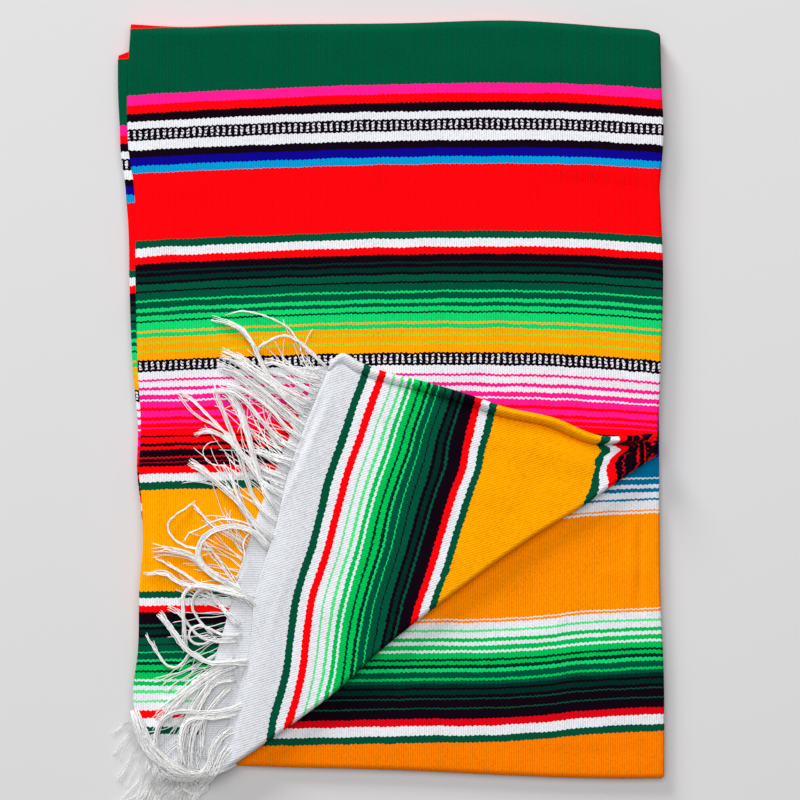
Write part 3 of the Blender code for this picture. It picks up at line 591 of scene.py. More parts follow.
RIDGE_STRIPES = (         # x along the roll, distance from the hem of the stripe there
    (-0.0640, 0.0), (0.0745, 0.1531), (0.0886, 0.1670), (0.0958, 0.1732), (0.1948, 0.2697),
    (0.2025, 0.2770), (0.2111, 0.2850), (0.2177, 0.2920), (0.2474, 0.3225), (0.2512, 0.3266),
)
CORNER_REACH = 0.0033     # how far the slanting fold's roll stands out, as the cloth is pressed there
LIFT = 0.0016             # how far the turned corner stands off the layer beneath it
TROUGH_DEPTH = (          # distance from the hem along the roll, depth of the trough
    (-0.01, 0.0004), (0.03, 0.0008), (0.07, 0.0016), (0.14, 0.0032), (0.20, 0.0037), (0.27, 0.0038),
    (0.40, 0.0038),
)
TURNED_LAYER = 11
LAP_LAYER = 6             # where it comes out from under the slanting fold
CURL_LAYER = 9            # where its roll ends
ROLL_HEIGHT = 0.0078
ROLL_WIDTH = 0.0070
ROLL_AT_HEM, ROLL_GROWS = 0.3, 0.2           # share of the height at the hem, and how fast it gains
TAIL_START, TAIL_WIDTH, TAIL_LOSS = 0.280, 0.035, 0.5        # where the roll sinks again, and by what share
TROUGH_FROM_EDGE = 0.0067
TROUGH_STEEP, TROUGH_SOFT = 0.0008, 0.0030   # its widths beside the roll and away from it
DIMPLE_DEPTH, DIMPLE_WIDTH = 0.0016, 0.006
PUCKER_HEIGHT, PUCKER_STEP, PUCKER_START, PUCKER_REACH = 0.0010, 0.0052, 0.288, 0.030
PINCH_PULL, PINCH_WIDTH = 0.009, 0.0032      # how far the trough draws the stripes towards the tip
PINCH_GIVE, PINCH_GIVE_AT, PINCH_GIVE_WIDTH = 0.006, 0.010, 0.007    # and lets them fall back beyond it
BOW_DEPTH, BOW_BELOW, BOW_WIDTH = 0.0078, 0.048, 0.018       # the stripes' bow below the ridge
DRAWN_FROM, DRAWN_SHARE = 0.292, 0.38        # past here the stripes are drawn out by this share
HEM_DROP, HEM_DROP_WIDTH = 0.0022, 0.010
PUFF, PUFF_AT, PUFF_WIDTH, PUFF_GROWS = 0.0012, 0.030, 0.016, 0.15
WEFT_RUN = (0.2925, -0.956)                  # which way the weft runs there
ROLL_SHARE = 0.045        # share of the way from the ridge to the corner's far end that has finer rows
TIP_SHARE = 0.20          # share of the way from the slanting fold to the hem that has them
HEM_STEPS = (0.96, 0.975, 0.988, 1.0)        # shares of that way where the last rows lie
SLANT_AT_FOLD, SLANT_GAIN = 0.77, 0.23       # rows meet the ridge aslant, which shortens their way to it
BEND_POWER, BEND_POWER_GAIN = 3, 9           # how soon the ridge's bends fade from row to row
BEND_TIGHTENS, BEND_TIGHTENS_WIDTH = 0.11, 0.06
SHIFT_POWER, SHIFT_POWER_GAIN = 2.5, 9.5     # how soon the stripes' shift along the ridge fades
SHIFT_TIGHTENS, SHIFT_TIGHTENS_WIDTH = 0.285, 0.03
PUCKER_GROWS = 0.012
BOW_START, BOW_GROWS = 0.238, 0.02
PINCH_START, PINCH_GROWS = 0.258, 0.03
LAP_DEPTH = 0.03
FLAP_CREASES = (          # in the same columns as the top panel's
    (-0.0600, 0.0095, -0.0915, -0.0670, 0.0028, 0.0018),
    (-0.0915, -0.0670, -0.1120, -0.1080, 0.0026, 0.0015),
    (-0.0670, 0.0040, -0.0985, -0.0700, 0.0032, -0.0017),
    (-0.098, -0.150, -0.125, -0.240, 0.0040, 0.0007),
    (-0.020, -0.060, 0.020, -0.090, 0.016, 0.0009),
    (0.060, -0.060, 0.110, -0.110, 0.018, 0.0012),
    (0.120, -0.040, 0.180, -0.060, 0.014, 0.0009),
    (-0.080, -0.200, -0.020, -0.190, 0.016, 0.0010),
    (0.020, -0.150, 0.060, -0.130, 0.012, -0.0007),
    (-0.120, -0.300, -0.090, -0.270, 0.012, 0.0007),
)
PINCH = np.array((0.2240, -0.0560))


def roll_line(steps):
    """Points along the roll's middle line, and the ways out of it, a quarter turn from its run."""
    outer = route(RIDGE, steps)
    run = np.gradient(outer, axis=0)
    out = np.column_stack((run[:, 1], -run[:, 0])) / np.hypot(*run.T)[:, None]
    return outer - (SIDE_ROLL + HALF) * out, out


def flap_plan(shares, hem, steps, set_out=0.0):
    """Rows from the slanting fold to the hem, straight but for those near the roll, which take its bends."""
    start, end = fold_line(shares) + set_out * ACROSS_FOLD, route(hem, shares)
    straight = start[:, None] * (1 - steps)[None, :, None] + end[:, None] * steps[None, :, None]
    low = fold_line(np.zeros(1))[0] + set_out * ACROSS_FOLD
    high = route(hem, np.zeros(1))[0]
    bend = roll_line(steps)[0] - (low * (1 - steps)[:, None] + high * steps[:, None])
    bend[0] = bend[-1] = 0
    power = BEND_POWER + BEND_POWER_GAIN * np.clip((BEND_TIGHTENS - steps) / BEND_TIGHTENS_WIDTH, 0, 1)
    fade = (1 - shares)[:, None] ** power
    return straight + fade[..., None] * bend


def from_lap(shares, low, over):
    """Two rows: the line where a layer dips below the slanting fold, and the first row of its turn there."""
    lap = LAP_START + shares[:, None] * (LAP_END - LAP_START)
    return np.concatenate((np.dstack((lap[:, None], low[:, None, None])), over[:, :1]), axis=1)


def turned_corner_blocks():
    """The layer on top of the corner: lap, slanting fold, flap, and the roll that turns down outside it."""
    shares = np.concatenate((np.linspace(0, ROLL_SHARE, 46), np.linspace(ROLL_SHARE, 1, 88)[1:]))
    near_tip, onward = np.linspace(0, TIP_SHARE, 52), np.linspace(TIP_SHARE, HEM_STEPS[0], 60)[1:-1]
    steps = np.concatenate((near_tip, onward, HEM_STEPS))
    set_out = OUTER_CORNER_ROLL - CORNER_REACH
    plan = flap_plan(shares, TURNED_HEM, steps, set_out)
    x, y = plan[..., 0], plan[..., 1]
    away = apart(plan, plan[:1]) * (SLANT_AT_FOLD + SLANT_GAIN * steps)
    v = np.interp(shares, *zip(*FOLD_STRIPES))[:, None] * (1 - steps)
    shift = np.interp(route(RIDGE, steps)[:, 0], *zip(*RIDGE_STRIPES)) - v[0]
    power = SHIFT_POWER + SHIFT_POWER_GAIN * rising(v[0], SHIFT_TIGHTENS, SHIFT_TIGHTENS_WIDTH)
    v = v + (1 - shares)[:, None] ** power * shift
    roll = ROLL_HEIGHT * np.cos(math.pi / 2 * rising(away, 0, ROLL_WIDTH))
    roll = roll * np.clip(ROLL_AT_HEM + v / ROLL_GROWS, 0, 1)
    roll = roll * (1 - TAIL_LOSS * rising(v, TAIL_START, TAIL_WIDTH))
    beyond = away - TROUGH_FROM_EDGE
    trough = flowing(TROUGH_DEPTH, v) * bell(beyond, np.where(beyond > 0, TROUGH_SOFT, TROUGH_STEEP))
    dimple = DIMPLE_DEPTH * bell(np.hypot(x - PINCH[0], y - PINCH[1]), DIMPLE_WIDTH)
    puckers = PUCKER_HEIGHT * np.sin(math.tau * v / PUCKER_STEP)
    puckers = puckers * rising(v, PUCKER_START, PUCKER_GROWS) * bell(away, PUCKER_REACH)
    pinched = PINCH_PULL * bell(beyond, PINCH_WIDTH)
    pinched = pinched - PINCH_GIVE * bell(beyond - PINCH_GIVE_AT, PINCH_GIVE_WIDTH)
    ridge = np.array(sorted(RIDGE))
    below = np.interp(x, ridge[:, 0], ridge[:, 1]) - y
    bowed = BOW_DEPTH * bell(below - BOW_BELOW, BOW_WIDTH) * rising(v, BOW_START, BOW_GROWS)
    v = v + pinched * rising(v, PINCH_START, PINCH_GROWS) - bowed
    v = v - DRAWN_SHARE * np.clip(v - DRAWN_FROM, 0, None)
    at_hem = apart(plan, plan[:, -1:])
    drop = HEM_DROP * bell(at_hem, HEM_DROP_WIDTH)
    puff = PUFF * bell(away - PUFF_AT, PUFF_WIDTH) * rising(v, 0, PUFF_GROWS)
    z = layer_middle(TURNED_LAYER) + LIFT + roll - trough - dimple + puckers - drop + puff
    z = z + soft_lines(FLAP_CREASES, x, y)
    flap = np.dstack((plan, z))
    u = WEFT_RUN[0] * x + WEFT_RUN[1] * y

    axis = plan[:, 0]
    low = np.full(len(axis), layer_middle(LAP_LAYER))
    over = half_turn(axis, CORNER_REACH * ACROSS_FOLD, low, z[:, 0], 18)
    arc = OUTER_CORNER_ROLL * np.linspace(math.pi, 0, 18)
    v_over = v[:, :1] + arc * math.sin(FOLD_LEAN)
    u_over = u[:, :1] + arc * math.cos(FOLD_LEAN)
    under = from_lap(shares, low, over)
    step = np.array((LAP_DEPTH, 0))
    edge = flap[0]
    down = np.full(len(edge), layer_middle(CURL_LAYER))
    curl = half_turn(edge[:, :2], SIDE_ROLL * roll_line(steps)[1], edge[:, 2], down, 10)
    u_curl = u[0][:, None] - SIDE_ROLL * np.linspace(0, math.pi, 10)
    return (
        (flap, u, v),
        (over, u_over, v_over),
        (under, u_over[:, :1] + step, v_over[:, :1] + step),
        (curl, u_curl, v[0][:, None]),
    )


turned_corner = cloth_object("turned_corner_cloth", turned_corner_blocks())
turned_corner.data.materials.append(woven("turned_weave", WEB, noise_seed=80.0))
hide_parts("turned_corner")

# The inner layer of the turned corner. It is the web's third thickness, which lies between the other two
# and shows only as a line of plain white hem.
INNER_HEM_INSET = 0.008
ACROSS_HEM = np.array((-0.940, 0.342))
INNER_CORNER_RADIUS = 1.5 * PITCH
INNER_LAYER = 10
INNER_LAP_LAYER = 7


def inner_layer_blocks():
    """Lap, slanting fold and flap of the middle layer, whose selvedge stops short of the roll."""
    shares = np.linspace(ROLL_SHARE, 1, 90)
    steps = np.linspace(0, 1, 70)
    hem = np.array(TURNED_HEM) - INNER_HEM_INSET * ACROSS_HEM
    plan = flap_plan(shares, hem, steps)
    flap = np.dstack((plan, np.full(plan.shape[:2], layer_middle(INNER_LAYER))))
    axis = plan[:, 0]
    low, high = np.full(len(axis), layer_middle(INNER_LAP_LAYER)), flap[:, 0, 2]
    over = half_turn(axis, INNER_CORNER_RADIUS * ACROSS_FOLD, low, high, 12)
    under = from_lap(shares, low, over)
    from_hem = apart(plan, plan[:, -1:])
    return (
        (flap, -plan[..., 1], from_hem),
        (over, -plan[:, :1, 1], from_hem[:, :1]),
        (under, -plan[:, :1, 1], from_hem[:, :1]),
    )


inner_layer = cloth_object("corner_inner_cloth", inner_layer_blocks())
inner_layer.data.materials.append(panel_weave)
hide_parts("corner_inner_layer")

# The hidden layers. They are the rest of the web, pressed flat inside the folds, and show only as layered
# edges. The uppermost fold stands out past the selvedge at the left, with stripes of its own.
UNDER_FOLD_SHOWS = (      # y, how far that fold stands out
    (0.3500, -0.0040), (0.3300, -0.0010), (0.3275, 0.0098), (0.3250, 0.0106), (0.3000, 0.0095),
    (0.2600, 0.0075), (0.2150, 0.0085), (0.1830, 0.0085), (0.1410, 0.0065), (0.0400, 0.0055),
    (-0.0240, 0.0035), (-0.1146, 0.0010), (-0.1600, -0.0030), (-0.3560, -0.0050),
)
UNDER_FOLD_SHIFT = (      # y, how much further down its stripes lie
    (0.22, 0.0275), (0.30, 0.0302), (0.345, 0.0272),
)
LEFT_BEADS = (            # bottom and top layer of each rounded edge, how far it is set in
    (0, 1, 0.0040), (2, 2, 0.0060), (3, 3, 0.0032), (4, 5, 0.0048),
)
RIGHT_BEADS = ((0, 2, 0.0030), (3, 5, 0.0018))
BEAD_WIDTH, UNDER_FOLD_BEAD_WIDTH = 0.0019, 0.0026
INSIDE_FOLD = 0.0020
EDGE_STEPS = 150          # points up the left edge
STACK_LEFT, STACK_RIGHT = -0.2450, 0.2455    # ends of the edge along the top
RIGHT_EDGE_TOP = 0.338
PANELS_MEET = -0.05       # y where the right edge passes from the top panel's line to the lower panel's
FOOT_RIGHT, FOOT_LEFT = 0.250, -0.232
UNDER_HEM_FOOT = ((-0.175, -0.3400), (-0.200, -0.3440), (-0.228, -0.3440))
BOTTOM_THIRD = (-0.345, 0.344, 0.031)        # y it starts and ends at, how much further down its stripes lie
MIDDLE_THIRD = (-0.340, 0.344, 0.083)
UNDER_FOLD = (-0.336, 0.340)
HAIR = 1e-6


def bead(z, low, high, half_width=BEAD_WIDTH):
    """How far a rounded edge draws in at a height: its radius less the half round's reach there."""
    bottom, top = low * PITCH, high * PITCH + CLOTH
    radius = (top - bottom) / 2
    away = np.clip(np.abs(z - (bottom + top) / 2) / radius, 0, 1)
    return min(radius, half_width + radius / 3) * (1 - np.sqrt(1 - away ** 2))


def stack_outline(z, left_in, right_in, start_y, end_y, cut):
    """Rings of a pressed stack at heights z: up the left, along the top, down the right and back."""
    up = np.linspace(start_y, end_y, EDGE_STEPS)
    left_x = flowing(SELVEDGE, up)[None] + left_in
    left = np.stack((left_x, np.broadcast_to(up, left_x.shape)), axis=-1)
    end_x = np.linspace(STACK_LEFT, STACK_RIGHT, 60)
    centre, radius = TOP_ROLL + HALF, TOP_ROLL - HALF - INSIDE_FOLD
    out = np.sqrt(np.clip(radius ** 2 - (z - centre) ** 2, 0, None))[:, None]
    axis_y = flowing(TOP_EDGE, end_x)[None] - TOP_ROLL - HALF
    top = np.stack(np.broadcast_arrays(end_x[None], axis_y + out - INSIDE_FOLD), axis=-1)
    down = np.linspace(RIGHT_EDGE_TOP, cut[0], 100)
    side = np.where(down > PANELS_MEET, flowing(RIGHT_FOLD, down), flowing(LOWER_RIGHT_FOLD, down))
    right = np.stack((side[None] - right_in, np.broadcast_to(down, (len(z), 100))), axis=-1)
    foot = np.broadcast_to(np.array(cut[1]), (len(z), len(cut[1]), 2))
    return np.concatenate((left, top, right, foot), axis=1)


def stack_block(low, high, left_in, right_in, start_y, end_y, cut, shift):
    """A closed stack as one grid: a point in its middle, rings from bottom to top, and a point again."""
    z = np.concatenate([np.linspace(k * PITCH, k * PITCH + CLOTH, 6) for k in range(low, high + 1)])
    rings = stack_outline(z, left_in(z)[:, None], right_in(z)[:, None], start_y, end_y, cut)
    rings = np.concatenate((rings, rings[:, :1]), axis=1)
    points = np.dstack((rings, np.broadcast_to(z[:, None], rings.shape[:2])))
    middle = rings.mean(axis=(0, 1))
    shares = np.linspace(1, 0, 8)[1:, None, None]
    lid = (rings[-1] - middle)[None] * shares + middle
    floor = (rings[0] - middle)[None] * shares[::-1] + middle
    below, above = (np.dstack((plan, np.full(plan.shape[:2], height)))
                    for plan, height in ((floor, z[0]), (lid, z[-1])))
    points = np.concatenate((below, points, above))
    v = points[..., 1] - HEM_Y + np.interp(points[..., 1], *zip(*shift))
    return points, points[..., 0] + points[..., 2], v


def folded_layers_blocks():
    """Bottom third, middle third and the pair of layers below the top panel, each a stack of its own."""
    floor_axis = BOTTOM_ROLL + HALF
    foot_x = np.linspace(FOOT_RIGHT, FOOT_LEFT, 60)
    foot_y = flowing(BOTTOM_FOLD, foot_x) + floor_axis
    bottom = (-0.352, np.column_stack((foot_x, foot_y)))
    lap = LAP_START + np.linspace(0.02, 1, 60)[:, None] * (LAP_END - LAP_START) + (0, 0.0005)
    slant = (LAP_START[1] + INSIDE_FOLD, np.concatenate((lap, UNDER_HEM_FOOT)))

    def set_in(z, table):
        """Sum of the table's beads and insets, each over its own layers' heights."""
        return sum(np.where((z >= low * PITCH - HAIR) & (z <= high * PITCH + CLOTH + HAIR),
                            bead(z, low, high) + inset, 0) for low, high, inset in table)

    def left(z):
        return set_in(z, LEFT_BEADS)

    def right(z):
        return set_in(z, RIGHT_BEADS)

    def under_fold_left(z):
        return bead(z, 6, 7, UNDER_FOLD_BEAD_WIDTH)

    def tucked(z):
        return np.full(len(z), SIDE_ROLL + HALF + INSIDE_FOLD)

    thirds = []
    for low, high, (start, end, shift), cut in ((0, 2, BOTTOM_THIRD, bottom), (3, 5, MIDDLE_THIRD, slant)):
        thirds.append(stack_block(low, high, left, right, start, end, cut, ((0, shift),)))
    points, u, v = stack_block(6, 7, under_fold_left, tucked, *UNDER_FOLD, slant, UNDER_FOLD_SHIFT)
    shows = -np.interp(np.linspace(*UNDER_FOLD, EDGE_STEPS), *zip(*sorted(UNDER_FOLD_SHOWS)))
    points[:, :EDGE_STEPS, 0] += shows
    points[:, -1, 0] += shows[0]
    return (*thirds, (points, u, v))


folded_layers = cloth_object("folded_layers_cloth", folded_layers_blocks(), thick=False)
folded_layers.data.materials.append(woven("folded_weave", WEB, chains=CHAINS, noise_seed=120.0))
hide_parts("folded_layers")

# The fringe. It is the warp itself, white cotton left loose past the hem, and lies in tousled locks on the
# panel, on the table and over the turned hem.
PIXEL = 0.000955          # metres to a pixel of the photograph
PHOTO_MIDDLE = 397
YARN_RADIUS = 0.00048
YARN_STEPS = 22
ROOT_LENGTH = 0.005       # part of a lock that is hidden below the hem
PANEL_TOP = PANEL_LAYER * PITCH + CLOTH
UNDER_ROOT = layer_middle(TURNED_PANEL_LAYER)
TURNED_ROOT = layer_middle(INNER_LAYER)
END_ROOT = layer_middle(PANEL_LAYER)
END_HEM = ((-0.2480, -0.3050), (-0.2320, -0.3556), (-0.1745, -0.3556))
END_YARN_SHARE = 0.7      # of the radius, where the yarns at the lower left are thinner
LOCKS_UPPER = (           # yarns, root spread, body spread and tip spread in mm, lift in mm, route in pixels
    (3, 1.5, 0.7, 1.2, 5, ((323, 364), (299, 342), (290, 329), (275, 320), (255, 313), (242, 311),
     (225, 315))),
    (8, 3.0, 2.2, 2.6, 5, ((324, 365), (310, 351), (298, 341), (284, 336), (270, 341), (260, 347),
     (254, 357))),
    (3, 1.5, 0.8, 1.0, 3, ((322, 368), (308, 368), (304, 361), (301, 351), (299, 343))),
    (15, 8.0, 3.0, 4.5, 6, ((303, 412), (286, 398), (274, 383), (261, 361), (252, 342), (242, 329),
     (229, 323), (211, 319))),
    (7, 5.0, 2.5, 3.0, 5, ((308, 402), (284, 390), (268, 372), (256, 350), (247, 336), (236, 329))),
    (31, 22.0, 8.5, 9.5, 4, ((306, 405), (280, 389), (255, 371), (237, 358), (221, 352))),
    (19, 14.0, 8.0, 8.0, 2, ((302, 430), (276, 405), (250, 384), (232, 372), (216, 366))),
    (11, 8.0, 2.6, 4.0, 4, ((304, 440), (287, 427), (274, 412), (255, 396), (240, 388), (226, 385))),
    (16, 10.0, 4.0, 6.0, 3, ((299, 452), (280, 440), (262, 420), (246, 402), (232, 392), (216, 390))),
    (9, 6.0, 2.5, 4.0, 4, ((286, 478), (262, 468), (236, 446), (223, 430), (204, 411), (190, 398),
     (178, 393))),
    (6, 3.0, 1.5, 3.0, 3, ((284, 484), (250, 468), (235, 440), (212, 424), (196, 415), (186, 405),
     (178, 395))),
    (14, 8.0, 4.0, 5.0, 5, ((284, 495), (262, 480), (246, 458), (229, 440), (216, 433), (205, 431),
     (194, 434))),
    (17, 12.0, 4.5, 6.0, 4, ((280, 510), (266, 492), (255, 461), (246, 428), (237, 405), (225, 392),
     (214, 392))),
    (11, 8.0, 3.5, 5.0, 3, ((276, 522), (258, 505), (247, 480), (240, 455), (229, 425), (219, 402),
     (213, 384))),
    (2, 1.0, 0.5, 1.0, 2, ((236, 475), (225, 466), (211, 464), (203, 453), (205, 446), (219, 440))),
    (19, 12.0, 4.5, 6.5, 4, ((274, 540), (252, 520), (236, 500), (222, 487), (205, 472), (188, 462))),
    (16, 14.0, 6.0, 7.0, 2, ((292, 464), (276, 458), (262, 452), (250, 449))),
    (8, 4.0, 2.0, 3.0, 5, ((270, 544), (250, 518), (238, 495), (229, 472), (222, 462))),
    (12, 9.0, 4.0, 5.0, 1, ((312, 392), (296, 384), (282, 376), (268, 372))),
    (11, 10.0, 5.0, 6.0, 1, ((316, 378), (300, 374), (286, 366), (270, 362), (258, 366))),
)
LOCKS_MIDDLE = (          # these hang from the turned corner's hem
    (28, 7.0, 3.6, 4.6, 6, ((266, 545), (252, 531), (235, 526), (221, 528), (207, 535), (200, 545),
     (199, 555), (207, 569), (223, 580), (236, 586))),
    (4, 2.0, 1.0, 1.0, 5, ((250, 533), (244, 542), (245, 556), (241, 568), (236, 580))),
    (7, 10.0, 7.0, 8.0, 1, ((248, 598), (235, 583), (221, 563), (207, 547), (200, 541))),
    (16, 8.0, 6.0, 9.0, 3, ((254, 604), (238, 588), (222, 578), (205, 566), (193, 556), (175, 551),
     (152, 550))),
    (5, 2.0, 1.5, 2.0, 6, ((207, 549), (184, 545), (172, 536), (168, 525), (176, 515), (187, 508),
     (196, 500))),
    (5, 2.5, 1.2, 1.6, 6, ((240, 540), (228, 532), (212, 525), (203, 515), (193, 503))),
    (3, 1.5, 1.0, 1.0, 4, ((250, 525), (235, 520), (218, 520), (200, 529), (189, 534), (183, 544))),
    (11, 7.0, 3.0, 5.0, 4, ((256, 600), (238, 591), (220, 587), (205, 585), (189, 585), (177, 581),
     (168, 574), (158, 572), (143, 574))),
    (10, 5.0, 2.5, 3.0, 3, ((240, 592), (222, 587), (200, 584), (183, 573), (169, 565), (154, 556))),
    (12, 5.0, 3.2, 3.6, 5, ((252, 598), (228, 592), (207, 587), (192, 586), (184, 594), (183, 606),
     (184, 620), (185, 636), (188, 652))),
    (7, 4.0, 2.5, 4.0, 4, ((240, 600), (218, 588), (204, 588), (195, 596), (193, 606), (198, 617),
     (207, 628), (217, 636))),
    (7, 8.0, 5.0, 6.0, 2, ((236, 622), (223, 608), (214, 597), (205, 588))),
    (7, 2.0, 1.5, 2.0, 3, ((236, 634), (222, 634), (210, 628), (198, 625), (191, 629), (189, 637),
     (194, 643), (203, 644), (217, 637))),
    (19, 7.0, 3.2, 7.0, 5, ((246, 662), (228, 662), (211, 662), (197, 656), (187, 648), (173, 630),
     (158, 613))),
    (7, 2.0, 1.7, 3.0, 4, ((205, 660), (190, 652), (184, 661), (175, 667), (168, 665), (159, 654),
     (152, 643), (145, 631))),
    (8, 6.0, 3.0, 5.0, 2, ((232, 640), (214, 640), (200, 636), (190, 626), (178, 612), (167, 606))),
)
LOCKS_LOWER = (           # these hang from its lower end
    (25, 14.0, 8.0, 13.0, 2, ((232, 664), (216, 671), (204, 679), (188, 692), (172, 706), (158, 722))),
    (22, 14.0, 8.0, 11.0, 3, ((230, 676), (216, 680), (204, 694), (193, 712), (186, 735), (184, 765))),
    (19, 9.0, 4.0, 6.0, 5, ((243, 706), (228, 710), (214, 712), (199, 712), (176, 712), (164, 719),
     (158, 730), (158, 750))),
    (19, 9.0, 5.0, 6.0, 4, ((236, 712), (214, 716), (198, 716), (187, 721), (181, 738), (183, 768))),
    (14, 8.0, 4.0, 6.0, 3, ((234, 716), (218, 714), (205, 717), (197, 727), (192, 746), (191, 770))),
    (16, 12.0, 6.0, 8.0, 2, ((232, 730), (222, 736), (214, 748), (210, 764), (200, 782))),
    (14, 12.0, 6.0, 9.0, 2, ((230, 746), (222, 756), (216, 770), (202, 788), (186, 806))),
    (10, 8.0, 5.0, 8.0, 1, ((228, 758), (219, 768), (208, 780), (196, 796), (182, 818))),
    (12, 9.0, 5.0, 6.0, 1, ((226, 690), (216, 700), (206, 716), (202, 738), (201, 760))),
)
LOCKS_END = (             # these lie at the lower left, partly on the table
    (34, 8.0, 10.0, 12.0, 1, ((136, 715), (141, 730), (149, 746), (161, 759), (180, 771), (206, 782))),
    (14, 6.0, 9.0, 10.0, 1, ((140, 722), (147, 740), (158, 755), (174, 768), (192, 780), (204, 790))),
    (18, 8.0, 8.0, 10.0, 1, ((230, 763), (216, 769), (200, 774), (184, 775), (166, 772))),
    (10, 12.0, 8.0, 14.0, 0, ((162, 762), (152, 780), (142, 800), (130, 820), (124, 836))),
    (12, 14.0, 9.0, 16.0, 0, ((174, 766), (164, 784), (150, 804), (140, 826), (134, 844))),
    (14, 14.0, 9.0, 14.0, 0, ((190, 767), (182, 786), (172, 808), (162, 830), (156, 848))),
    (12, 12.0, 9.0, 14.0, 0, ((206, 767), (198, 786), (188, 808), (178, 832), (176, 850))),
    (3, 6.0, 8.0, 14.0, 0, ((138, 724), (130, 736), (122, 748), (113, 760))),
    (4, 6.0, 9.0, 14.0, 0, ((143, 742), (136, 754), (128, 770), (118, 786))),
    (3, 4.0, 7.0, 10.0, 0, ((136, 716), (126, 722), (117, 730), (108, 736))),
    (9, 6.0, 3.0, 5.0, 3, ((208, 766), (200, 774), (190, 780), (176, 780), (164, 774), (156, 764))),
    (8, 5.0, 3.0, 6.0, 2, ((190, 768), (180, 778), (182, 790), (194, 796), (206, 790), (204, 778))),
)
FAN_UPPER = (             # share along the hem, degrees above straight left, length in mm
    (0.0, 34, 62), (0.15, 38, 74), (0.30, 42, 80), (0.42, 52, 84), (0.50, 40, 60), (0.58, 8, 56),
    (0.68, -6, 58), (0.76, -26, 66), (0.86, -52, 72), (1.0, -66, 76),
)
SLOPE_WIDTH = 0.018       # width over which yarns come down from the panel to the table
SLOPE_FOOT = -0.3750      # y where that slope ends below the panel
YARN_GAP = 0.0003
FALL_LENGTH = 0.022       # length in which a yarn comes down from its hem
SHORTEST = 0.16           # yarns of a lock are cut shorter by up to this share
SWAY = 0.16               # share of the lock's spread
FRAY = 0.30
RIPPLE, RIPPLE_STEP = 0.35, 0.011            # mm to the side, metres from wave to wave
LIFT_UNIT = 0.0009
PILE_UNIT, PILE_MOST = 0.00042, 14           # what each yarn adds to the pile, up to so many
CLUMP_TURN, YARN_TURN = 16, 5                # degrees that a clump turns, and each yarn in it
CLUMP_SEED = 700
FAN_HEM = ((0.0, 30, 46), (0.3, 34, 50), (0.5, 30, 40), (0.62, 10, 26), (1.0, -20, 20))
FAN_END = ((0.0, -96, 56), (0.3, -74, 76), (0.7, -62, 92), (1.0, -56, 84))


def on_page(pixels):
    """Metres on the page from pixels of the photograph: away from its middle, with y turned up."""
    pixels = np.asarray(pixels, dtype=float)
    return (pixels - PHOTO_MIDDLE) * (PIXEL, -PIXEL)


def ground(x, y, travelled, root_z):
    """Height that a yarn lies at: from its root's to the panel's, and past its edge to the table's."""
    inside = rising(x - flowing(SELVEDGE, y), -SLOPE_WIDTH, SLOPE_WIDTH) * rising(y, SLOPE_FOOT, SLOPE_WIDTH)
    inside = inside * inside * (3 - 2 * inside)
    hem_x = flowing(np.array(UNDER_HEM)[:, ::-1], y)
    band = rising(x - hem_x, -0.006, 0.005)
    rest = YARN_RADIUS + YARN_GAP + inside * (PANEL_TOP + band * PITCH)
    fall = rising(travelled, 0, FALL_LENGTH)
    return rest + (root_z - rest) * (1 - fall) ** 2 * (1 + 2 * fall)


def lock_yarns(table, root_z, draw):
    """Middle lines of every yarn of a table's locks.

    A yarn is its lock's route, moved sideways by its own share of the lock's
    spread, which goes from the root's to the body's and opens at the tip, plus
    a slow sway. Its height is the ground's plus its place in the lock.
    """
    lines = []
    t = np.linspace(0, 1, YARN_STEPS)
    for count, root, body, tip, lift, pixels in table:
        points = on_page(pixels)
        points[0] += (points[0] - points[1]) * ROOT_LENGTH / np.hypot(*(points[0] - points[1]))
        length = np.hypot(*np.diff(points, axis=0).T).sum()
        own = t[None] * (1 - SHORTEST * draw.random((count, 1)) ** 2)
        middle = route(points, own)
        ahead, behind = route(points, np.clip(own + 0.02, 0, 1)), route(points, np.clip(own - 0.02, 0, 1))
        along = ahead - behind
        along /= np.linalg.norm(along, axis=-1, keepdims=True) + 1e-9
        side = np.stack((along[..., 1], -along[..., 0]), axis=-1)
        spread = body + (root - body) * np.clip(1 - t / 0.35, 0, 1) ** 2
        spread = spread + (tip - body) * rising(t, 0.6, 0.4) ** 1.5
        place = draw.uniform(-0.5, 0.5, (count, 1))
        swing = np.sin(math.tau * (t * draw.uniform(0.4, 1.3, (count, 1)) + draw.random((count, 1))))
        place = place + SWAY * swing * np.clip(t * 5, 0, 1)
        frayed = draw.normal(0, FRAY, (count, 1)) * rising(t, 0.8, 0.2) ** 2
        wave = np.sin(math.tau * (t * length / RIPPLE_STEP + draw.random((count, 1))))
        ripple = RIPPLE * wave * np.clip(t * 4, 0, 1)
        sideways = (place * spread + frayed * body + ripple) * 0.001
        plan = middle + sideways[..., None] * side
        height = LIFT_UNIT * lift * np.sin(math.pi * np.clip(t * 1.02, 0, 1)) ** 0.8
        pile = draw.random((count, 1)) * PILE_UNIT * min(count, PILE_MOST)
        pile = pile * np.sqrt(np.clip(t * 6, 0.02, 1))
        z = ground(plan[..., 0], plan[..., 1], t[None] * length, root_z) + height + pile
        lines.append(np.dstack((plan, z)))
    return lines


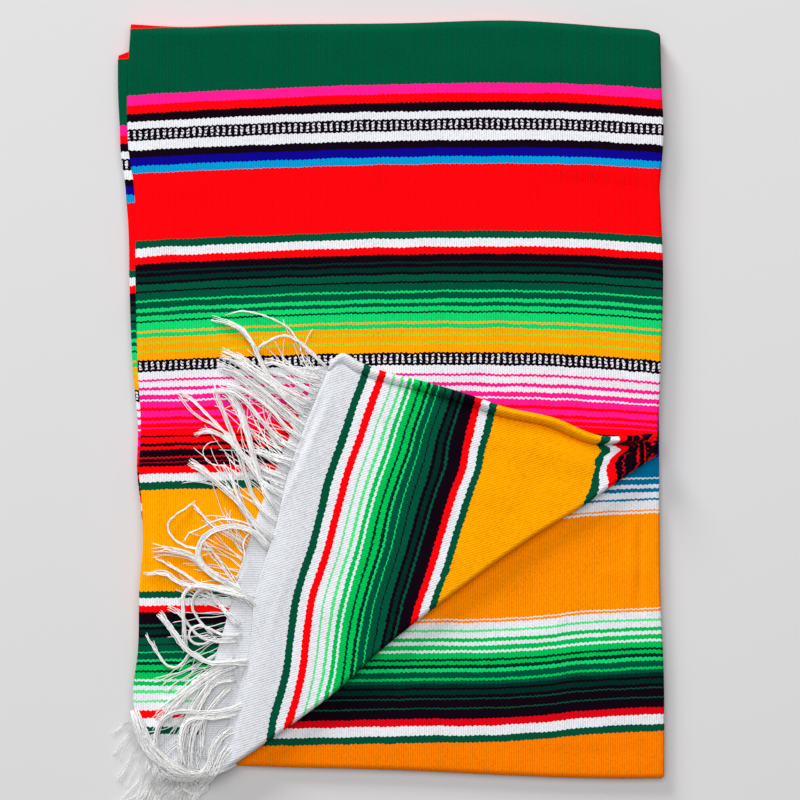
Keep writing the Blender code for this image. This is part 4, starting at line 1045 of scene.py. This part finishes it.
def stray_yarns(hem, fan, first, last, count, root_z, draw, clump=9):
    """Middle lines of the loose yarns between the locks.

    Each leaves the hem along its fan's direction, turned by its clump's own
    angle, bends by the square of the way along, and sways a little.
    """
    t = np.linspace(0, 1, YARN_STEPS)
    share = np.sort(draw.uniform(first, last, count))
    group = (share * 1000 // clump).astype(int)
    turn = np.array([np.random.default_rng(CLUMP_SEED + g).uniform(-1, 1, 3) for g in group])
    rows = np.array(fan)
    angle = np.interp(share, rows[:, 0], rows[:, 1]) + CLUMP_TURN * turn[:, 0]
    angle = np.radians(angle + draw.normal(0, YARN_TURN, count))
    length = np.interp(share, rows[:, 0], rows[:, 2]) * 0.001 * draw.uniform(0.55, 1.08, count)
    curl = 0.8 * turn[:, 1] + draw.normal(0, 0.35, count)
    heading = angle[:, None] + curl[:, None] * t ** 1.5 + 0.10 * np.sin(
        math.tau * (2.2 * t + draw.random((count, 1))))
    ahead = np.stack((-np.cos(heading), np.sin(heading)), axis=-1)
    steps = ahead * (length / (YARN_STEPS - 1))[:, None, None]
    steps[:, 0] = 0
    plan = route(hem, share)[:, None] + np.cumsum(steps, axis=1)
    travelled = length[:, None] * t
    lift = 0.0012 * draw.random((count, 1)) * np.sin(math.pi * t)
    z = ground(plan[..., 0], plan[..., 1], travelled, root_z) + lift + 0.0008 * draw.random((count, 1))
    return [np.dstack((plan, z))]


def yarn_object(name, lines, radius=YARN_RADIUS):
    """Three-sided yarns: at each step of a line, corners at its radius, which tapers at the very tip."""
    lines = np.concatenate(lines)
    count, steps = lines.shape[:2]
    along = np.gradient(lines, axis=1)
    along /= np.linalg.norm(along, axis=-1, keepdims=True) + 1e-12
    side = np.cross(along, (0, 0, 1))
    side /= np.linalg.norm(side, axis=-1, keepdims=True) + 1e-12
    up = np.cross(side, along)
    angles = math.tau * np.arange(3) / 3 + math.pi / 2
    thin = radius * np.where(np.arange(steps) == steps - 1, 0.55, 1.0)
    ring = (side[:, :, None] * np.cos(angles)[None, None, :, None]
            + up[:, :, None] * np.sin(angles)[None, None, :, None]) * thin[None, :, None, None]
    corners = (lines[:, :, None] + ring + (*PAGE, 0)).reshape(-1, 3)
    number = np.arange(count * steps * 3).reshape(count, steps, 3)
    here, after = number[:, :-1], number[:, 1:]
    walls = np.stack((here, np.roll(here, -1, axis=2), np.roll(after, -1, axis=2), after), axis=-1)
    ends = np.concatenate((number[:, 0, ::-1], number[:, -1]))
    mesh = bpy.data.meshes.new(name)
    mesh.from_pydata(corners, [], walls.reshape(-1, 4).tolist() + ends.tolist())
    mesh.shade_smooth()
    made = placed(name, mesh)
    made.data.materials.append(warp_cotton)
    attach(made, "root")
    return made


warp_cotton = bpy.data.materials.new("warp_cotton")
warp_cotton.use_nodes = True
cotton = warp_cotton.node_tree.nodes["Principled BSDF"]
fibre = Wire(warp_cotton.node_tree.nodes.new("ShaderNodeTexCoord").outputs["Object"])
tuft = fibre.node("TexNoise", {}, {"Vector": fibre, "Scale": 900.0, "Detail": 1.0})
patch = fibre.node("TexNoise", {}, {"Vector": fibre, "Scale": 60.0, "Detail": 1.0})
bright = 1.0 + (tuft - 0.5) * 0.20 + (patch - 0.5) * 0.12
cotton_white = bright.shades((*dye(246, 246, 245), 1))
warp_cotton.node_tree.links.new(cotton_white.socket, cotton.inputs["Base Color"])
cotton.inputs["Roughness"].default_value = 0.9
cotton.inputs["Specular IOR Level"].default_value = 0.05
# The yarns glow faintly, though they are no lamp: painted light, standing in for light that passes through
# the thin cotton.
cotton.inputs["Emission Color"].default_value = (1.0, 0.99, 0.98, 1)
cotton.inputs["Emission Strength"].default_value = 0.05

draw = np.random.default_rng(11)
upper_lines = lock_yarns(LOCKS_UPPER, UNDER_ROOT, draw)
upper_lines += lock_yarns(LOCKS_MIDDLE, TURNED_ROOT, draw)
upper_lines += stray_yarns(TURNED_HEM, FAN_HEM, 0.02, 0.36, 40, TURNED_ROOT, draw)
upper_fringe = yarn_object("fringe_locks_cotton", upper_lines)
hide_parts("fringe_turned_upper")
lower_lines = stray_yarns(UNDER_HEM, FAN_UPPER, 0.0, 0.56, 80, UNDER_ROOT, draw)
lower_lines += stray_yarns(UNDER_HEM, FAN_UPPER, 0.56, 1.0, 60, UNDER_ROOT, draw)
lower_lines += lock_yarns(LOCKS_LOWER, TURNED_ROOT, draw)
lower_fringe = yarn_object("fringe_loose_cotton", lower_lines)
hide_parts("fringe_turned_lower")
end_lines = lock_yarns(LOCKS_END, END_ROOT, draw)
end_lines += stray_yarns(END_HEM, FAN_END, 0.3, 1.0, 40, END_ROOT, draw)
end_fringe = yarn_object("fringe_end_cotton", end_lines, END_YARN_SHARE * YARN_RADIUS)
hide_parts("fringe_end")

# The table, the lights and the camera. The serape lies on a pale table and is seen straight down. A
# window's soft light comes low from the upper left, and a wide soft light hangs overhead.
VIEW_HEIGHT = 3.0
PHOTO_WIDTH = 0.764       # metres across the photograph at the top panel's height
VIEW_CENTRE = np.array((0.0029, -0.0029)) + PAGE
TABLE_SPOKES, TABLE_RINGS, TABLE_RADIUS = 96, 29, 6.0
TABLE_GAP = 0.0002        # between the table and the cloth


def table_top():
    """A flat round of table: rings of points at growing distances from its middle."""
    around = np.linspace(0, math.tau, TABLE_SPOKES + 1)[:-1]
    reach = np.linspace(0.0, 1, TABLE_RINGS + 1)[1:, None] ** 1.6 * TABLE_RADIUS
    x, y = reach * np.cos(around) + VIEW_CENTRE[0], reach * np.sin(around) + VIEW_CENTRE[1]
    points = np.concatenate(([(*VIEW_CENTRE, 0)], np.dstack((x, y, 0 * x)).reshape(-1, 3)))
    number = 1 + np.arange(TABLE_RINGS * TABLE_SPOKES).reshape(TABLE_RINGS, TABLE_SPOKES)
    after = np.roll(number, -1, axis=1)
    quads = np.stack((number[:-1], number[1:], after[1:], after[:-1]), axis=-1).reshape(-1, 4)
    hub = np.column_stack((np.zeros(TABLE_SPOKES, int), number[0], after[0]))
    mesh = bpy.data.meshes.new("pale_table")
    mesh.from_pydata(points, [], hub.tolist() + quads.tolist())
    return placed("pale_table", mesh)


table = table_top()
table.location.z = -TABLE_GAP
paint = bpy.data.materials.new("pale_paint")
paint.use_nodes = True
coat = paint.node_tree.nodes["Principled BSDF"].inputs
coat["Base Color"].default_value = (*dye(212, 211, 212), 1)
coat["Roughness"].default_value = 0.9
coat["Specular IOR Level"].default_value = 0.1
table.data.materials.append(paint)

sky = bpy.data.worlds.new("soft_room")
sky.use_nodes = True
sky.node_tree.nodes["Background"].inputs["Color"].default_value = (0.97, 0.98, 1.0, 1)
sky.node_tree.nodes["Background"].inputs["Strength"].default_value = 0.22
bpy.context.scene.world = sky
bpy.context.scene.view_settings.view_transform = "Standard"


def soft_light(name, place, size, power):
    """A square soft light, size metres wide and power watts, aimed at the middle of the serape."""
    lamp = bpy.data.lights.new(name, "AREA")
    lamp.size, lamp.energy = size, power
    made = placed(name, lamp)
    made.location = place
    aim = np.array((*VIEW_CENTRE, 0)) - place
    tilt = math.acos(-aim[2] / np.linalg.norm(aim))
    made.rotation_euler = (tilt, 0, math.atan2(aim[1], aim[0]) - math.pi / 2)


soft_light("window_light", (-4.8, 9.2, 4.16), 3.9, 1204)
soft_light("overhead_light", (-0.1, 0.8, 3.4), 2.8, 95)

lens = bpy.data.cameras.new("overhead")
lens.lens = lens.sensor_width * (VIEW_HEIGHT - PANEL_TOP) / PHOTO_WIDTH
camera = placed("overhead", lens)
camera.location = (*VIEW_CENTRE, VIEW_HEIGHT)
bpy.context.scene.camera = camera
